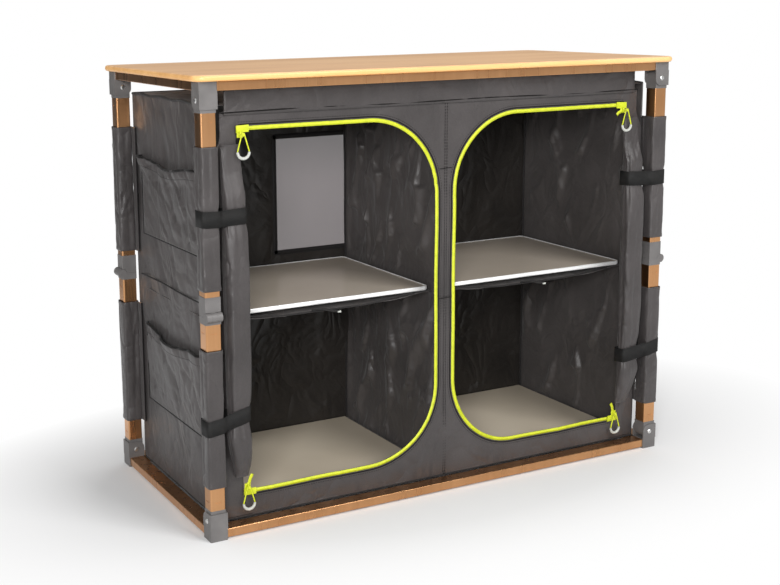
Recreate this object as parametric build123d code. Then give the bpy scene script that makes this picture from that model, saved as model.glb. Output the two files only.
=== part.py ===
from build123d import *
import math
import os

# Folding camping cupboard: two rectangular rail frames, four two-part legs with knee hinges,
# a table top, a sewn cloth cabinet with two rolled-up doors, and two loose shelves.
# Millimetres, +Z up, +X to the right, -Y to the front, origin on the floor under the middle.

# Overall frame
FRAME_W = 1010.0
FRAME_D = 455.0
FRAME_H = 800.0
BRACKET = 33.0
RAIL_WIDE = 28.0
RAIL_HIGH = 16.0
RAIL_WALL = 1.2
RAIL_CORNER = 1.6
RAIL_LIFT = 3.0
SPIGOT_LEN = 24.0
FIT = 0.2
SEAT = 0.3

# Table top
TOP_OVERHANG = 10.0
TOP_W = FRAME_W + 2 * TOP_OVERHANG
TOP_D = FRAME_D + 2 * TOP_OVERHANG
TOP_T = 11.0
TOP_CORNER = 22.0
TOP_EDGE_ROUND = 5.0

# Corner brackets
BLOCK_LOW_H = 20.0
CHEEK_T = 2.2
CHEEK_H = 30.0
CHEEK_ROUND = 13.0
BRACKET_CUT = 1.4
PIVOT_RISE = 15.0
LOW_PIVOT_Z = BLOCK_LOW_H + PIVOT_RISE
HIGH_PIVOT_Z = FRAME_H - RAIL_HIGH - PIVOT_RISE
RIVET_R = 3.0
RIVET_HEAD_R = 5.0
RIVET_HEAD_TOP_R = 3.2
RIVET_HEAD_H = 1.6
RIVET_SIDES = 16
PIN_CLEAR = 0.05

# Legs
LEG = 28.0
LEG_WALL = 1.2
LEG_CORNER = 3.0
LEG_X = FRAME_W / 2 - BRACKET / 2
LEG_Y = FRAME_D / 2 - BRACKET / 2
COLLAR = 21.0
TUBE_CUT = 1.2
END_ROUND = 13.8
PLUG_LEN = 22.0
BLOCK_CUT = 1.0
KNEE_Z = (LOW_PIVOT_Z + HIGH_PIVOT_Z) / 2
KNEE_BLOCK = 29.0
KNEE_OFF = KNEE_BLOCK / 2
KNEE_LOW_H = 13.0
KNEE_HIGH_H = 35.0
KNEE_GAP = 0.1
KNUCKLE_R = 8.5
KNUCKLE_MID = 9.6
KNUCKLE_GAP = 0.2
POCKET_R = 9.0
PIN_R = 3.0
CRIMP = (12.0, 0.5, 2.2)
CRIMP_DROP = 14.0

# Cloth sleeves over the leg tubes
SLEEVE_GAP = 0.3
SLEEVE_T = 0.9
SLEEVE_CUT = 2.4
SLEEVE_FOOT_GAP = 62.0
SLEEVE_KNEE_LOW = 59.0
SLEEVE_KNEE_HIGH = 45.0
SLEEVE_TOP_GAP = 77.0
SLEEVE_LOW = (LOW_PIVOT_Z + SLEEVE_FOOT_GAP, KNEE_Z - SLEEVE_KNEE_LOW)
SLEEVE_HIGH = (KNEE_Z + SLEEVE_KNEE_HIGH, HIGH_PIVOT_Z - SLEEVE_TOP_GAP)

# Sewn cabinet
CLOTH = 1.0
CAB_SIDE_GAP = 3.5
CAB_FRONT_GAP = 4.4
CAB_TOP_GAP = 11.0
CAB_X = LEG_X - LEG / 2 - CAB_SIDE_GAP
CAB_Y = LEG_Y - LEG / 2 - CAB_FRONT_GAP
CAB_LOW = RAIL_LIFT + RAIL_HIGH - CLOTH
CAB_HIGH = HIGH_PIVOT_Z - CAB_TOP_GAP
BAND_OVERLAP = 6.0
BAND_IN = 8.0
PANEL_TOP = CAB_HIGH - 2 * BAND_OVERLAP
SHOULDER_IN = 16.0
SHOULDER_DROP = 58.0
SHOULDER_RUN = 20.0
SHOULDER_X = CAB_X - SHOULDER_IN
SHOULDER_Z = CAB_HIGH - SHOULDER_DROP
BAND_X = SHOULDER_X - BAND_IN
BAND_LOW = PANEL_TOP - BAND_OVERLAP
BAND_HIGH = FRAME_H - RAIL_LIFT
FLOOR_RISE = 4.7
FLOOR_Z = CAB_LOW + FLOOR_RISE
WINDOW_SHARE = (0.35, 0.32)
WINDOW = (WINDOW_SHARE[0] * 2 * CAB_X, WINDOW_SHARE[1] * (CAB_HIGH - CAB_LOW))
WINDOW_DROP = 226.0
WINDOW_Z = CAB_HIGH - WINDOW_DROP

# Door openings and their zips
DOOR_IN = 23.0
DOOR_SIDE = 46.0
DOOR_SILL = 52.0
DOOR_HEAD = 33.0
DOOR_OUT = CAB_X - DOOR_SIDE
DOOR_LOW = CAB_LOW + DOOR_SILL
DOOR_HIGH = PANEL_TOP - DOOR_HEAD
DOOR_ROUND = 140.0
ZIP_W = 7.0
ZIP_T = 0.6
ZIP_SHORT = 4.5
ZIP_END = DOOR_OUT - ZIP_SHORT

# Zip sliders and pull loops
SLIDER = (12.0, 5.0, 12.0)
SLIDER_IN = 6.8
SLIDER_X = DOOR_OUT - SLIDER_IN
SLIDER_OUT = 2.8
STUD_R = 1.25
STUD_PAST = 2.5
STUD_CAP = (4.6, 0.9)
CORD_R = 1.2
LOOP_BOTTOM_R = 9.0
LOOP_DROP = 33.0
LOOP_STEPS = 6
GRIP_R = 2.6
HIGH_LOOP_OUT = 14.9
LOW_LOOP_OUT = 7.9

# Rolled doors and the straps that hold them
ROLL_IN = 33.0
ROLL_X = CAB_X - ROLL_IN
ROLL_BACK = CAB_Y + SEAT
ROLL_CUT = 7.0
STRAP_T = 1.0
STRAP_H = 28.0
STRAP_UP = 142.0
STRAP_DOWN = 143.0
STRAP_Z = (DOOR_LOW + STRAP_UP, DOOR_HIGH - STRAP_DOWN)
STRAP_GAP = 0.4
STRAP_BACK = CAB_Y + STRAP_GAP
STRAP_IN = 54.5
STRAP_IN_X = CAB_X - STRAP_IN
STRAP_CUT = 2.5
STRAP_EASE = 0.5
PINCH_BACK = STRAP_BACK + STRAP_T + SEAT
PINCH_HALF = 20.0
PINCH_OUT = 26.4
# height from a strap, half width and how far the roll stands out; the back is flat
ROLL_LOW = ((-112.0, 17.0, 21.4), (-77.0, 21.0, 31.4), (-26.0, 22.5, 33.4))
ROLL_MID_LOW = ((26.0, 22.5, 33.4), (88.0, 24.0, 37.4))
ROLL_MID_HIGH = ((-100.0, 24.0, 37.4), (-26.0, 22.5, 33.4))
ROLL_HIGH = ((32.0, 21.0, 29.4), (72.0, 20.0, 10.9), (120.0, 19.0, 9.4))

# Shelves and floor boards
SHELF_IN = 8.0
SHELF_SET_BACK = 42.6
SHELF_BACK_GAP = 4.6
SHELF_OUT = CAB_X - SHELF_IN
SHELF_FRONT = -(CAB_Y - SHELF_SET_BACK)
SHELF_BACK = CAB_Y - SHELF_BACK_GAP
SHELF_T = 8.0
SHELF_UNDER_KNEE = 14.0
SHELF_TOP = KNEE_Z - SHELF_UNDER_KNEE
EDGE_T = 1.6
FLOOR_T = 4.0
FLOOR_GAP = 6.6
FLOOR_FRONT = -(CAB_Y - FLOOR_GAP)

# Pockets on the left wall
POCKET_IN = 42.6
POCKET_HALF_Y = CAB_Y - POCKET_IN
POCKET_OUT = 17.0
POCKET_RISE = 137.0
POCKET_UNDER = 92.0
POCKET_OVER = 86.0
POCKET_DROP = 118.0
POCKETS_Z = (
    (CAB_LOW + POCKET_RISE, KNEE_Z - POCKET_UNDER),
    (KNEE_Z + POCKET_OVER, CAB_HIGH - POCKET_DROP),
)

os.makedirs("parts", exist_ok=True)


def save(shape, name):
    export_step(shape, f"parts/{name}.step")


def block(x0, x1, y0, y1, z0, z1):
    """A box between two corners."""
    low = Vector(min(x0, x1), min(y0, y1), min(z0, z1))
    high = Vector(max(x0, x1), max(y0, y1), max(z0, z1))
    size = high - low
    return Pos(*((low + high) * 0.5)) * Box(size.X, size.Y, size.Z)


def rod(axis, radius, length, centre):
    """A cylinder along X or Y about a centre point."""
    turn = Rot(0, 90, 0) if axis == "x" else Rot(90, 0, 0)
    return Pos(*centre) * turn * Cylinder(radius, length)


def cut_rectangle(width, deep, cut):
    """A rectangle about the origin with its corners cut off at 45 degrees."""
    x, y = width / 2, deep / 2
    corners = [
        (x - cut, y), (x, y - cut), (x, cut - y), (x - cut, -y),
        (cut - x, -y), (-x, cut - y), (-x, y - cut), (cut - x, y),
    ]
    return make_face(Polyline(*corners, close=True))


def bar(width, cut, z0, z1):
    """An upright square bar with cut corners."""
    return Pos(0, 0, z0) * extrude(cut_rectangle(width, width, cut), z1 - z0)


def multi(shapes):
    return Compound(children=[s if isinstance(s, Solid) else s.solids()[0] for s in shapes])


# Corners of the plan. Each leg folds along one side of the frame, so that the four chase each
# other round. In its own frame a leg stands at the origin and folds towards +Y.
CORNERS = {
    "lf": (-LEG_X, -LEG_Y, 0),
    "lr": (-LEG_X, LEG_Y, -90),
    "rr": (LEG_X, LEG_Y, 180),
    "rf": (LEG_X, -LEG_Y, 90),
}


def place(corner, shape):
    x, y, turn = CORNERS[corner]
    return Pos(x, y, 0) * Rot(0, 0, turn) * shape


# Rails
def rail(length, axis, x, y, z_mid):
    profile = RectangleRounded(RAIL_WIDE, RAIL_HIGH, RAIL_CORNER)
    hollow = cut_rectangle(RAIL_WIDE - 2 * RAIL_WALL, RAIL_HIGH - 2 * RAIL_WALL, FIT)
    tube = extrude(profile - hollow, length / 2, both=True)
    lay = Rot(90, 0, 0) if axis == "y" else Rot(0, 0, 90) * Rot(90, 0, 0)
    return Pos(x, y, z_mid) * lay * tube


LONG_RAIL = FRAME_W - 2 * BRACKET
SHORT_RAIL = FRAME_D - 2 * BRACKET
LOW_RAIL_Z = RAIL_LIFT + RAIL_HIGH / 2
HIGH_RAIL_Z = FRAME_H - RAIL_HIGH / 2
for level, rail_z in (("bottom", LOW_RAIL_Z), ("top", HIGH_RAIL_Z)):
    save(rail(LONG_RAIL, "x", 0, -LEG_Y, rail_z), f"{level}_rail_front")
    save(rail(LONG_RAIL, "x", 0, LEG_Y, rail_z), f"{level}_rail_rear")
    save(rail(SHORT_RAIL, "y", -LEG_X, 0, rail_z), f"{level}_rail_left")
    save(rail(SHORT_RAIL, "y", LEG_X, 0, rail_z), f"{level}_rail_right")


# Brackets: a block with two rail spigots, two cheeks for the leg pivot and a closed back plate
def spigots(rail_z):
    wide = RAIL_WIDE - 2 * RAIL_WALL - 2 * FIT
    high = RAIL_HIGH - 2 * RAIL_WALL - 2 * FIT
    near = BRACKET / 2
    far = near + SPIGOT_LEN
    low, top = rail_z - high / 2, rail_z + high / 2
    along_y = block(-wide / 2, wide / 2, near - 1, far, low, top)
    along_x = block(near - 1, far, -wide / 2, wide / 2, low, top)
    return along_y + along_x


def cheek_outline(block_z, tip_z):
    """Cheek seen along the pivot, in Y and Z, with its free corner rounded."""
    half = BRACKET / 2
    up = 1 if tip_z > block_z else -1
    outline = Polyline(
        (half, tip_z - up * CHEEK_ROUND),
        (half, block_z),
        (-half, block_z),
        (-half, tip_z),
        (half - CHEEK_ROUND, tip_z),
    )
    bulge = CHEEK_ROUND * math.sqrt(0.5)
    corner = ThreePointArc(
        (half - CHEEK_ROUND, tip_z),
        (half - CHEEK_ROUND + bulge, tip_z - up * (CHEEK_ROUND - bulge)),
        (half, tip_z - up * CHEEK_ROUND),
    )
    return make_face(outline + corner)


def bracket(block_low, block_high, tip_z, pivot_z, rail_z):
    half = BRACKET / 2
    join_z = block_high if tip_z > block_high else block_low
    body = bar(BRACKET, BRACKET_CUT, block_low, block_high)
    cheek = extrude(Plane.YZ * cheek_outline(join_z, tip_z), CHEEK_T)
    body += Pos(half - CHEEK_T, 0, 0) * cheek
    body += Pos(-half, 0, 0) * cheek
    body += block(-half, half, -half, -half + CHEEK_T, join_z, tip_z)
    body += spigots(rail_z)
    body -= rod("x", RIVET_R + PIN_CLEAR, BRACKET + 2, (0, 0, pivot_z))
    return body


def rivet(pivot_z):
    """A rivet through both cheeks, with a low domed head outside each."""
    half = BRACKET / 2
    seat = Plane.YZ.offset(half)
    pin = extrude(Plane.YZ * RegularPolygon(RIVET_R, RIVET_SIDES), half, both=True)
    wide = seat * RegularPolygon(RIVET_HEAD_R, RIVET_SIDES)
    small = seat.offset(RIVET_HEAD_H) * RegularPolygon(RIVET_HEAD_TOP_R, RIVET_SIDES)
    head = loft([wide, small], ruled=True)
    return Pos(0, 0, pivot_z) * (pin + head + mirror(head, Plane.YZ))


LOW_TIP = BLOCK_LOW_H + CHEEK_H
HIGH_BLOCK = FRAME_H - RAIL_HIGH
HIGH_TIP = HIGH_BLOCK - CHEEK_H
low_bracket = bracket(0, BLOCK_LOW_H, LOW_TIP, LOW_PIVOT_Z, LOW_RAIL_Z)
high_bracket = bracket(HIGH_BLOCK, FRAME_H, HIGH_TIP, HIGH_PIVOT_Z, HIGH_RAIL_Z)
for corner in CORNERS:
    save(place(corner, low_bracket), f"bottom_bracket_{corner}")
    save(place(corner, high_bracket), f"top_bracket_{corner}")
save(multi([place(c, rivet(LOW_PIVOT_Z)) for c in CORNERS]), "bottom_rivets")
save(multi([place(c, rivet(HIGH_PIVOT_Z)) for c in CORNERS]), "top_rivets")

# Table top
board = extrude(RectangleRounded(TOP_W, TOP_D, TOP_CORNER), TOP_T)
rims = board.faces().sort_by(Axis.Z)[0].edges() + board.faces().sort_by(Axis.Z)[-1].edges()
board = fillet(rims, TOP_EDGE_ROUND)
save(Pos(0, 0, FRAME_H) * board, "table_top")


# Leg halves
LOW_COLLAR_Z = LOW_PIVOT_Z + COLLAR
HIGH_COLLAR_Z = HIGH_PIVOT_Z - COLLAR
LOW_TUBE = (LOW_COLLAR_Z, KNEE_Z - KNEE_LOW_H)
HIGH_TUBE = (KNEE_Z + KNEE_HIGH_H, HIGH_COLLAR_Z)


def leg_tube(z0, z1, crimps):
    tube = Pos(0, 0, z0) * extrude(RectangleRounded(LEG, LEG, LEG_CORNER), z1 - z0)
    tube -= bar(LEG - 2 * LEG_WALL, TUBE_CUT, z0, z1)
    wide, deep, high = CRIMP
    for z in crimps:
        tube -= block(-wide / 2, wide / 2, -LEG / 2, -LEG / 2 + deep, z, z + high)
        tube -= block(-LEG / 2, -LEG / 2 + deep, -wide / 2, wide / 2, z, z + high)
    return tube


def pivot_end(pivot_z, up):
    """The grey insert at the outer end of a leg half: round end, square collar and plug."""
    far = pivot_z + up * COLLAR
    end = block(-LEG / 2, LEG / 2, -LEG / 2, LEG / 2, pivot_z, far)
    end += rod("x", END_ROUND, LEG, (0, 0, pivot_z))
    end += plug(far, up)
    return end - rod("x", RIVET_R + PIN_CLEAR, LEG + 2, (0, 0, pivot_z))


def plug(z, up):
    width = LEG - 2 * LEG_WALL - 2 * FIT
    z0, z1 = sorted((z - up, z + up * PLUG_LEN))
    return bar(width, TUBE_CUT, z0, z1)


def knee_block(up):
    """One half of the knee: a block over the tube end and its share of the hinge knuckles."""
    height = KNEE_HIGH_H if up > 0 else KNEE_LOW_H
    near = KNEE_Z + up * KNEE_GAP
    far = KNEE_Z + up * height
    half = KNEE_BLOCK / 2
    axis = (0, -KNEE_OFF, KNEE_Z)
    z0, z1 = sorted((near, far))
    body = bar(KNEE_BLOCK, BLOCK_CUT, z0, z1)
    if up > 0:
        inner = KNUCKLE_MID - 2 * KNUCKLE_GAP
        body -= rod("x", POCKET_R, KNEE_BLOCK + 2, axis) - rod("x", POCKET_R + 1, inner, axis)
        body += rod("x", KNUCKLE_R, KNUCKLE_MID, axis)
    else:
        middle = rod("x", POCKET_R, KNUCKLE_MID + 2 * KNUCKLE_GAP, axis)
        body -= middle
        body += rod("x", KNUCKLE_R, 2 * half, axis) - middle
    body += plug(far, up)
    return body - rod("x", PIN_R + PIN_CLEAR, KNEE_BLOCK + 2, axis)


def knee_pin():
    return rod("x", PIN_R, KNEE_BLOCK, (0, -KNEE_OFF, KNEE_Z))


def sleeve(span):
    inner = LEG + 2 * SLEEVE_GAP
    return bar(inner + 2 * SLEEVE_T, SLEEVE_CUT, *span) - bar(inner, SLEEVE_CUT - 0.6 * SLEEVE_T, *span)


low_tube = leg_tube(*LOW_TUBE, (LOW_TUBE[0] + CRIMP_DROP, LOW_TUBE[1] - CRIMP_DROP - CRIMP[2]))
high_tube = leg_tube(*HIGH_TUBE, (HIGH_TUBE[1] - CRIMP_DROP - CRIMP[2],))
low_ends = [pivot_end(LOW_PIVOT_Z, 1), knee_block(-1), knee_pin()]
high_ends = [pivot_end(HIGH_PIVOT_Z, -1), knee_block(1)]
for corner in CORNERS:
    save(place(corner, low_tube), f"{corner}_lower_tube")
    save(multi([place(corner, s) for s in low_ends]), f"{corner}_lower_fittings")
    save(place(corner, sleeve(SLEEVE_LOW)), f"{corner}_lower_sleeve")
    save(place(corner, high_tube), f"{corner}_upper_tube")
    save(multi([place(corner, s) for s in high_ends]), f"{corner}_upper_fittings")
    save(place(corner, sleeve(SLEEVE_HIGH)), f"{corner}_upper_sleeve")


# Sewn cabinet
def door_hole(side, grow):
    """The door opening seen from the front, rounded on the side next to the middle seam."""
    near = DOOR_IN - grow
    far = DOOR_OUT + grow
    low = DOOR_LOW - grow
    high = DOOR_HIGH + grow
    r = DOOR_ROUND + grow
    b = r * math.sqrt(0.5)
    edge = Polyline((near + r, high), (far, high), (far, low), (near + r, low))
    low_arc = ThreePointArc((near + r, low), (near + r - b, low + r - b), (near, low + r))
    up = Line((near, low + r), (near, high - r))
    high_arc = ThreePointArc((near, high - r), (near + r - b, high - r + b), (near + r, high))
    face = make_face(edge + low_arc + up + high_arc)
    return face if side > 0 else mirror(face, Plane.YZ)


def upright(face, y_front, thick):
    """Stands a face drawn in X and Z up and gives it thickness towards +Y."""
    return Pos(0, y_front + thick, 0) * extrude(Plane.XZ * face, thick)


outline = Polyline(
    (-CAB_X, CAB_LOW),
    (CAB_X, CAB_LOW),
    (CAB_X, SHOULDER_Z - SHOULDER_RUN),
    (SHOULDER_X, SHOULDER_Z),
    (SHOULDER_X, PANEL_TOP),
    (-SHOULDER_X, PANEL_TOP),
    (-SHOULDER_X, SHOULDER_Z),
    (-CAB_X, SHOULDER_Z - SHOULDER_RUN),
    close=True,
)
front_face = make_face(outline) - door_hole(1, 0) - door_hole(-1, 0)
IN_Y = CAB_Y - CLOTH
cloth = upright(front_face, -CAB_Y, CLOTH)
cloth += block(-BAND_X, BAND_X, -LEG_Y + LEG / 2 + SEAT, -CAB_Y, BAND_LOW, BAND_HIGH)
cloth += block(-SHOULDER_X, SHOULDER_X, -CAB_Y, -IN_Y, PANEL_TOP - 1, CAB_HIGH)
cloth += block(-SHOULDER_X, SHOULDER_X, -CAB_Y, CAB_Y, CAB_HIGH - CLOTH, CAB_HIGH)
for side in (-1, 1):
    cloth += block(side * CAB_X, side * (CAB_X - CLOTH), -IN_Y, CAB_Y, CAB_LOW, CAB_HIGH)
    cloth += block(side * (SHOULDER_X - 1), side * CAB_X, -IN_Y, CAB_Y, CAB_HIGH - CLOTH, CAB_HIGH)
cloth += block(-CAB_X, CAB_X, IN_Y, CAB_Y, CAB_LOW, CAB_HIGH)
cloth += block(-CLOTH / 2, CLOTH / 2, -IN_Y, IN_Y, FLOOR_Z, CAB_HIGH)
cloth += block(-CAB_X, CAB_X, -IN_Y, IN_Y, FLOOR_Z, FLOOR_Z + CLOTH)
sling_top = SHELF_TOP - SHELF_T - SEAT
cloth += block(-CAB_X, CAB_X, SHELF_FRONT, IN_Y, sling_top - CLOTH, sling_top)
win_w, win_h = WINDOW
cloth -= block(-win_w / 2, win_w / 2, IN_Y, CAB_Y + 1, WINDOW_Z - win_h / 2, WINDOW_Z + win_h / 2)
cloth += block(-CLOTH / 2, CLOTH / 2, IN_Y - 1, IN_Y, WINDOW_Z - win_h / 2, WINDOW_Z + win_h / 2)
save(cloth, "cabinet_cloth")

mesh = block(
    -win_w / 2 + FIT,
    win_w / 2 - FIT,
    IN_Y + FIT,
    CAB_Y - FIT,
    WINDOW_Z - win_h / 2 + FIT,
    WINDOW_Z + win_h / 2 - FIT,
)
save(mesh, "mesh_window")


# Zip tracks with the two lower sliders, then the two upper sliders
def slider(side, upper):
    """A slider body at the end of a zip, with the stud that its pull loop hangs from."""
    wide, deep, high = SLIDER
    x = side * SLIDER_X
    z = DOOR_HIGH - SEAT - high / 2 if upper else DOOR_LOW + SEAT + high / 2
    front = -(CAB_Y + SLIDER_OUT)
    loop_y = -(CAB_Y + (HIGH_LOOP_OUT if upper else LOW_LOOP_OUT))
    body = block(x - wide / 2, x + wide / 2, front, front + deep, z - high / 2, z + high / 2)
    tip = loop_y - STUD_PAST
    body += rod("y", STUD_R, front - tip + 1, (x, (front + tip + 1) / 2, z))
    cap, cap_t = STUD_CAP
    body += block(x - cap / 2, x + cap / 2, tip, tip + cap_t, z - cap / 2, z + cap / 2)
    return body


zips = []
for side in (-1, 1):
    tape = door_hole(side, ZIP_W) - door_hole(side, 0)
    tape = upright(tape, -CAB_Y - ZIP_T, ZIP_T)
    tape -= block(side * ZIP_END, side * (DOOR_OUT + 2 * ZIP_W), -CAB_Y - 5, -CAB_Y + 5, 0, FRAME_H)
    zips.append(tape)
    zips.append(slider(side, False))
save(multi(zips), "zip_tracks")
save(slider(-1, True), "zip_slider_left")
save(slider(1, True), "zip_slider_right")


def cord_path(points, radius, sides=6):
    """A six-sided cord with mitred joints along closed points drawn in X and Y."""
    rings = []
    count = len(points)
    for i, here in enumerate(points):
        ahead = (points[(i + 1) % count] - here).normalized()
        behind = (here - points[i - 1]).normalized()
        out = Vector(ahead.Y + behind.Y, -ahead.X - behind.X, 0).normalized()
        stretch = 1 / Vector(ahead.Y, -ahead.X, 0).dot(out)
        turns = [2 * math.pi * (k + 0.5) / sides for k in range(sides)]
        flat = [out * (stretch * radius * math.cos(a)) for a in turns]
        rise = [Vector(0, 0, radius * math.sin(a)) for a in turns]
        rings.append([here + f + r for f, r in zip(flat, rise)])
    faces = []
    for ring, after in zip(rings, rings[1:] + rings[:1]):
        for k in range(sides):
            n = (k + 1) % sides
            faces.append(make_face(Polyline(ring[k], ring[n], after[n], after[k], close=True)))
    return Solid(Shell(faces))


def arc_points(radius, centre_y, start, end):
    """Points along an arc about (0, centre_y), angles in radians."""
    angles = [start + (end - start) * k / LOOP_STEPS for k in range(LOOP_STEPS + 1)]
    return [Vector(radius * math.cos(a), centre_y + radius * math.sin(a), 0) for a in angles]


def pull_loop(side, upper):
    """A teardrop cord loop round the slider's stud, with a moulded grip at its lower end."""
    high = SLIDER[2]
    x = side * SLIDER_X
    z = DOOR_HIGH - SEAT - high / 2 if upper else DOOR_LOW + SEAT + high / 2
    y = -(CAB_Y + (HIGH_LOOP_OUT if upper else LOW_LOOP_OUT))
    top_r = STUD_R + PIN_CLEAR + CORD_R
    tilt = math.asin((LOOP_BOTTOM_R - top_r) / LOOP_DROP)
    over_stud = arc_points(top_r, 0, tilt, math.pi - tilt)
    under = arc_points(LOOP_BOTTOM_R, -LOOP_DROP, math.pi - tilt, 2 * math.pi + tilt)
    loop = cord_path(over_stud + under, CORD_R)
    inner = arc_points(LOOP_BOTTOM_R - GRIP_R, -LOOP_DROP, 2 * math.pi, math.pi)
    outer = arc_points(LOOP_BOTTOM_R + GRIP_R, -LOOP_DROP, math.pi, 2 * math.pi)
    grip = extrude(make_face(Polyline(*outer, *inner, close=True)), GRIP_R, both=True)
    return Pos(x, y, z) * Rot(90, 0, 0) * (loop + grip)


for name, side, upper in (
    ("upper_left", -1, True),
    ("upper_right", 1, True),
    ("lower_left", -1, False),
    ("lower_right", 1, False),
):
    save(pull_loop(side, upper), f"zip_pull_{name}")


# Rolled doors, drawn in where the two straps hold them
def roll_section(side, z, half, out, back):
    front = CAB_Y + out
    deep = front - back
    face = cut_rectangle(2 * half, deep, min(ROLL_CUT, 0.4 * deep))
    return Pos(side * ROLL_X, -(front + back) / 2, z) * face


def door_roll(side):
    low_z, high_z = STRAP_Z
    pinch = [(gap, PINCH_HALF, PINCH_OUT) for gap in (-STRAP_H / 2 - 2, STRAP_H / 2 + 2)]
    parts = [
        (low_z, ROLL_LOW, ROLL_BACK),
        (low_z, pinch, PINCH_BACK),
        (low_z, ROLL_MID_LOW, ROLL_BACK),
        (high_z, ROLL_MID_HIGH, ROLL_BACK),
        (high_z, pinch, PINCH_BACK),
        (high_z, ROLL_HIGH, ROLL_BACK),
    ]
    rows = [roll_section(side, z + dz, half, out, back) for z, part, back in parts for dz, half, out in part]
    return loft(rows, ruled=True)


save(door_roll(-1), "door_roll_left")
save(door_roll(1), "door_roll_right")

# Straps: flat loops round each leg sleeve and its roll
sleeve_half = LEG / 2 + SLEEVE_GAP + SLEEVE_T
strap_in = STRAP_IN_X + STRAP_T
strap_out = LEG_X + sleeve_half + STRAP_EASE
strap_front = LEG_Y + sleeve_half + STRAP_EASE
loop_w = strap_out - strap_in
loop_d = strap_front - (STRAP_BACK + STRAP_T)
band = cut_rectangle(loop_w + 2 * STRAP_T, loop_d + 2 * STRAP_T, STRAP_CUT + 0.6 * STRAP_T)
band = extrude(band - cut_rectangle(loop_w, loop_d, STRAP_CUT), STRAP_H)
straps = []
for side in (-1, 1):
    for z in STRAP_Z:
        centre_y = -(strap_front + STRAP_BACK + STRAP_T) / 2
        straps.append(Pos(side * (strap_in + strap_out) / 2, centre_y, z - STRAP_H / 2) * band)
save(multi(straps), "door_straps")

# Side pockets: two open-topped pouches on the left wall
pouches = []
for low, high in POCKETS_Z:
    outer_x = -(CAB_X + POCKET_OUT)
    pouch = block(outer_x, -CAB_X - SEAT, -POCKET_HALF_Y, POCKET_HALF_Y, low, high)
    hollow_y = POCKET_HALF_Y - CLOTH
    pouch -= block(outer_x + CLOTH, -CAB_X - SEAT - CLOTH, -hollow_y, hollow_y, low + CLOTH, high + 1)
    pouches.append(pouch)
save(multi(pouches), "side_pockets")

# Shelves and floor boards
boards = []
for side, name in ((-1, "left"), (1, "right")):
    span = (side * SHELF_IN, side * SHELF_OUT)
    levels = (SHELF_TOP - SHELF_T, SHELF_TOP)
    shelf = block(*span, SHELF_FRONT + EDGE_T, SHELF_BACK, *levels)
    edge = block(*span, SHELF_FRONT, SHELF_FRONT + EDGE_T, *levels)
    save(multi([shelf, edge]), f"shelf_{name}")
    floor_low = FLOOR_Z + CLOTH + SEAT
    boards.append(block(*span, FLOOR_FRONT, SHELF_BACK, floor_low, floor_low + FLOOR_T))
save(multi(boards), "floor_boards")
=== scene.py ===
import math

import bpy
import numpy as np
from mathutils import Matrix, Vector


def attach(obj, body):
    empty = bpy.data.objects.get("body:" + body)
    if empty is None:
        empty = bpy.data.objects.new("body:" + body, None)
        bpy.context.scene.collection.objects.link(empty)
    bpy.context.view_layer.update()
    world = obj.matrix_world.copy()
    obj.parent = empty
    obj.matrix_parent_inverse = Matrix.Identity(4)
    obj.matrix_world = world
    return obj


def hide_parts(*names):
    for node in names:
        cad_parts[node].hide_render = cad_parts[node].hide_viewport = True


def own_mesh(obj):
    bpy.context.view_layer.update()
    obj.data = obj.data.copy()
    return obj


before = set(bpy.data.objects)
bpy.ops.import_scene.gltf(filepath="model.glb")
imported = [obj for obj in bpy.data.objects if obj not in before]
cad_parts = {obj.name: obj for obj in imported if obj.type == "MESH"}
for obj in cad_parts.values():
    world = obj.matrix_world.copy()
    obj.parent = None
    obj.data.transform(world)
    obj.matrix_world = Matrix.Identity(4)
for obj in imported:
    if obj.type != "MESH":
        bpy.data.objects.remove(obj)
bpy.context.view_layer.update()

# Sizes in millimetres, as the solids have them
MM = 0.001
CAB_X, CAB_Y = 471.0, 192.6
CAB_LOW, CAB_HIGH, PANEL_TOP = 18.0, 758.0, 746.0
DOOR_IN, DOOR_OUT, DOOR_LOW, DOOR_HIGH, DOOR_R = 23.0, 425.0, 70.0, 713.0, 140.0
ZIP_END, ZIP_W = 420.5, 7.0
STUD_X, SLIDER_Y, CORD_R = 418.2, -195.4, 1.2
STUD_Z = {"upper": 706.7, "lower": 76.3}
LOOP_Y = {"upper": -207.5, "lower": -200.5}
LEG_X, LEG_Y = 488.5, 211.0
SLEEVES = {"lower": (97.0, 343.0), "upper": (447.0, 692.0)}
ROLL_X, ROLL_LOW, ROLL_HIGH = 438.0, 100, 690
STRAPS = (212.0, 570.0)
SHELF_IN, SHELF_OUT, SHELF_FRONT, SHELF_BACK = 8.0, 463.0, -150.0, 188.0
SHELF_MID, SHELF_CORNER, SLING_Z, FLOOR_Z = 384.0, 11.0, 379.2, 23.2
WINDOW = (-165.0, 165.0, 414.0, 650.0)
HALF_CLOTH = 0.5
CORNERS = {"lf": (-1, -1), "lr": (-1, 1), "rr": (1, 1), "rf": (1, -1)}
SIDES = ((-1, "left"), (1, "right"))
UP, FORWARD = (0.0, 0.0, 1.0), (0.0, -1.0, 0.0)
soft_pieces = []


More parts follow.
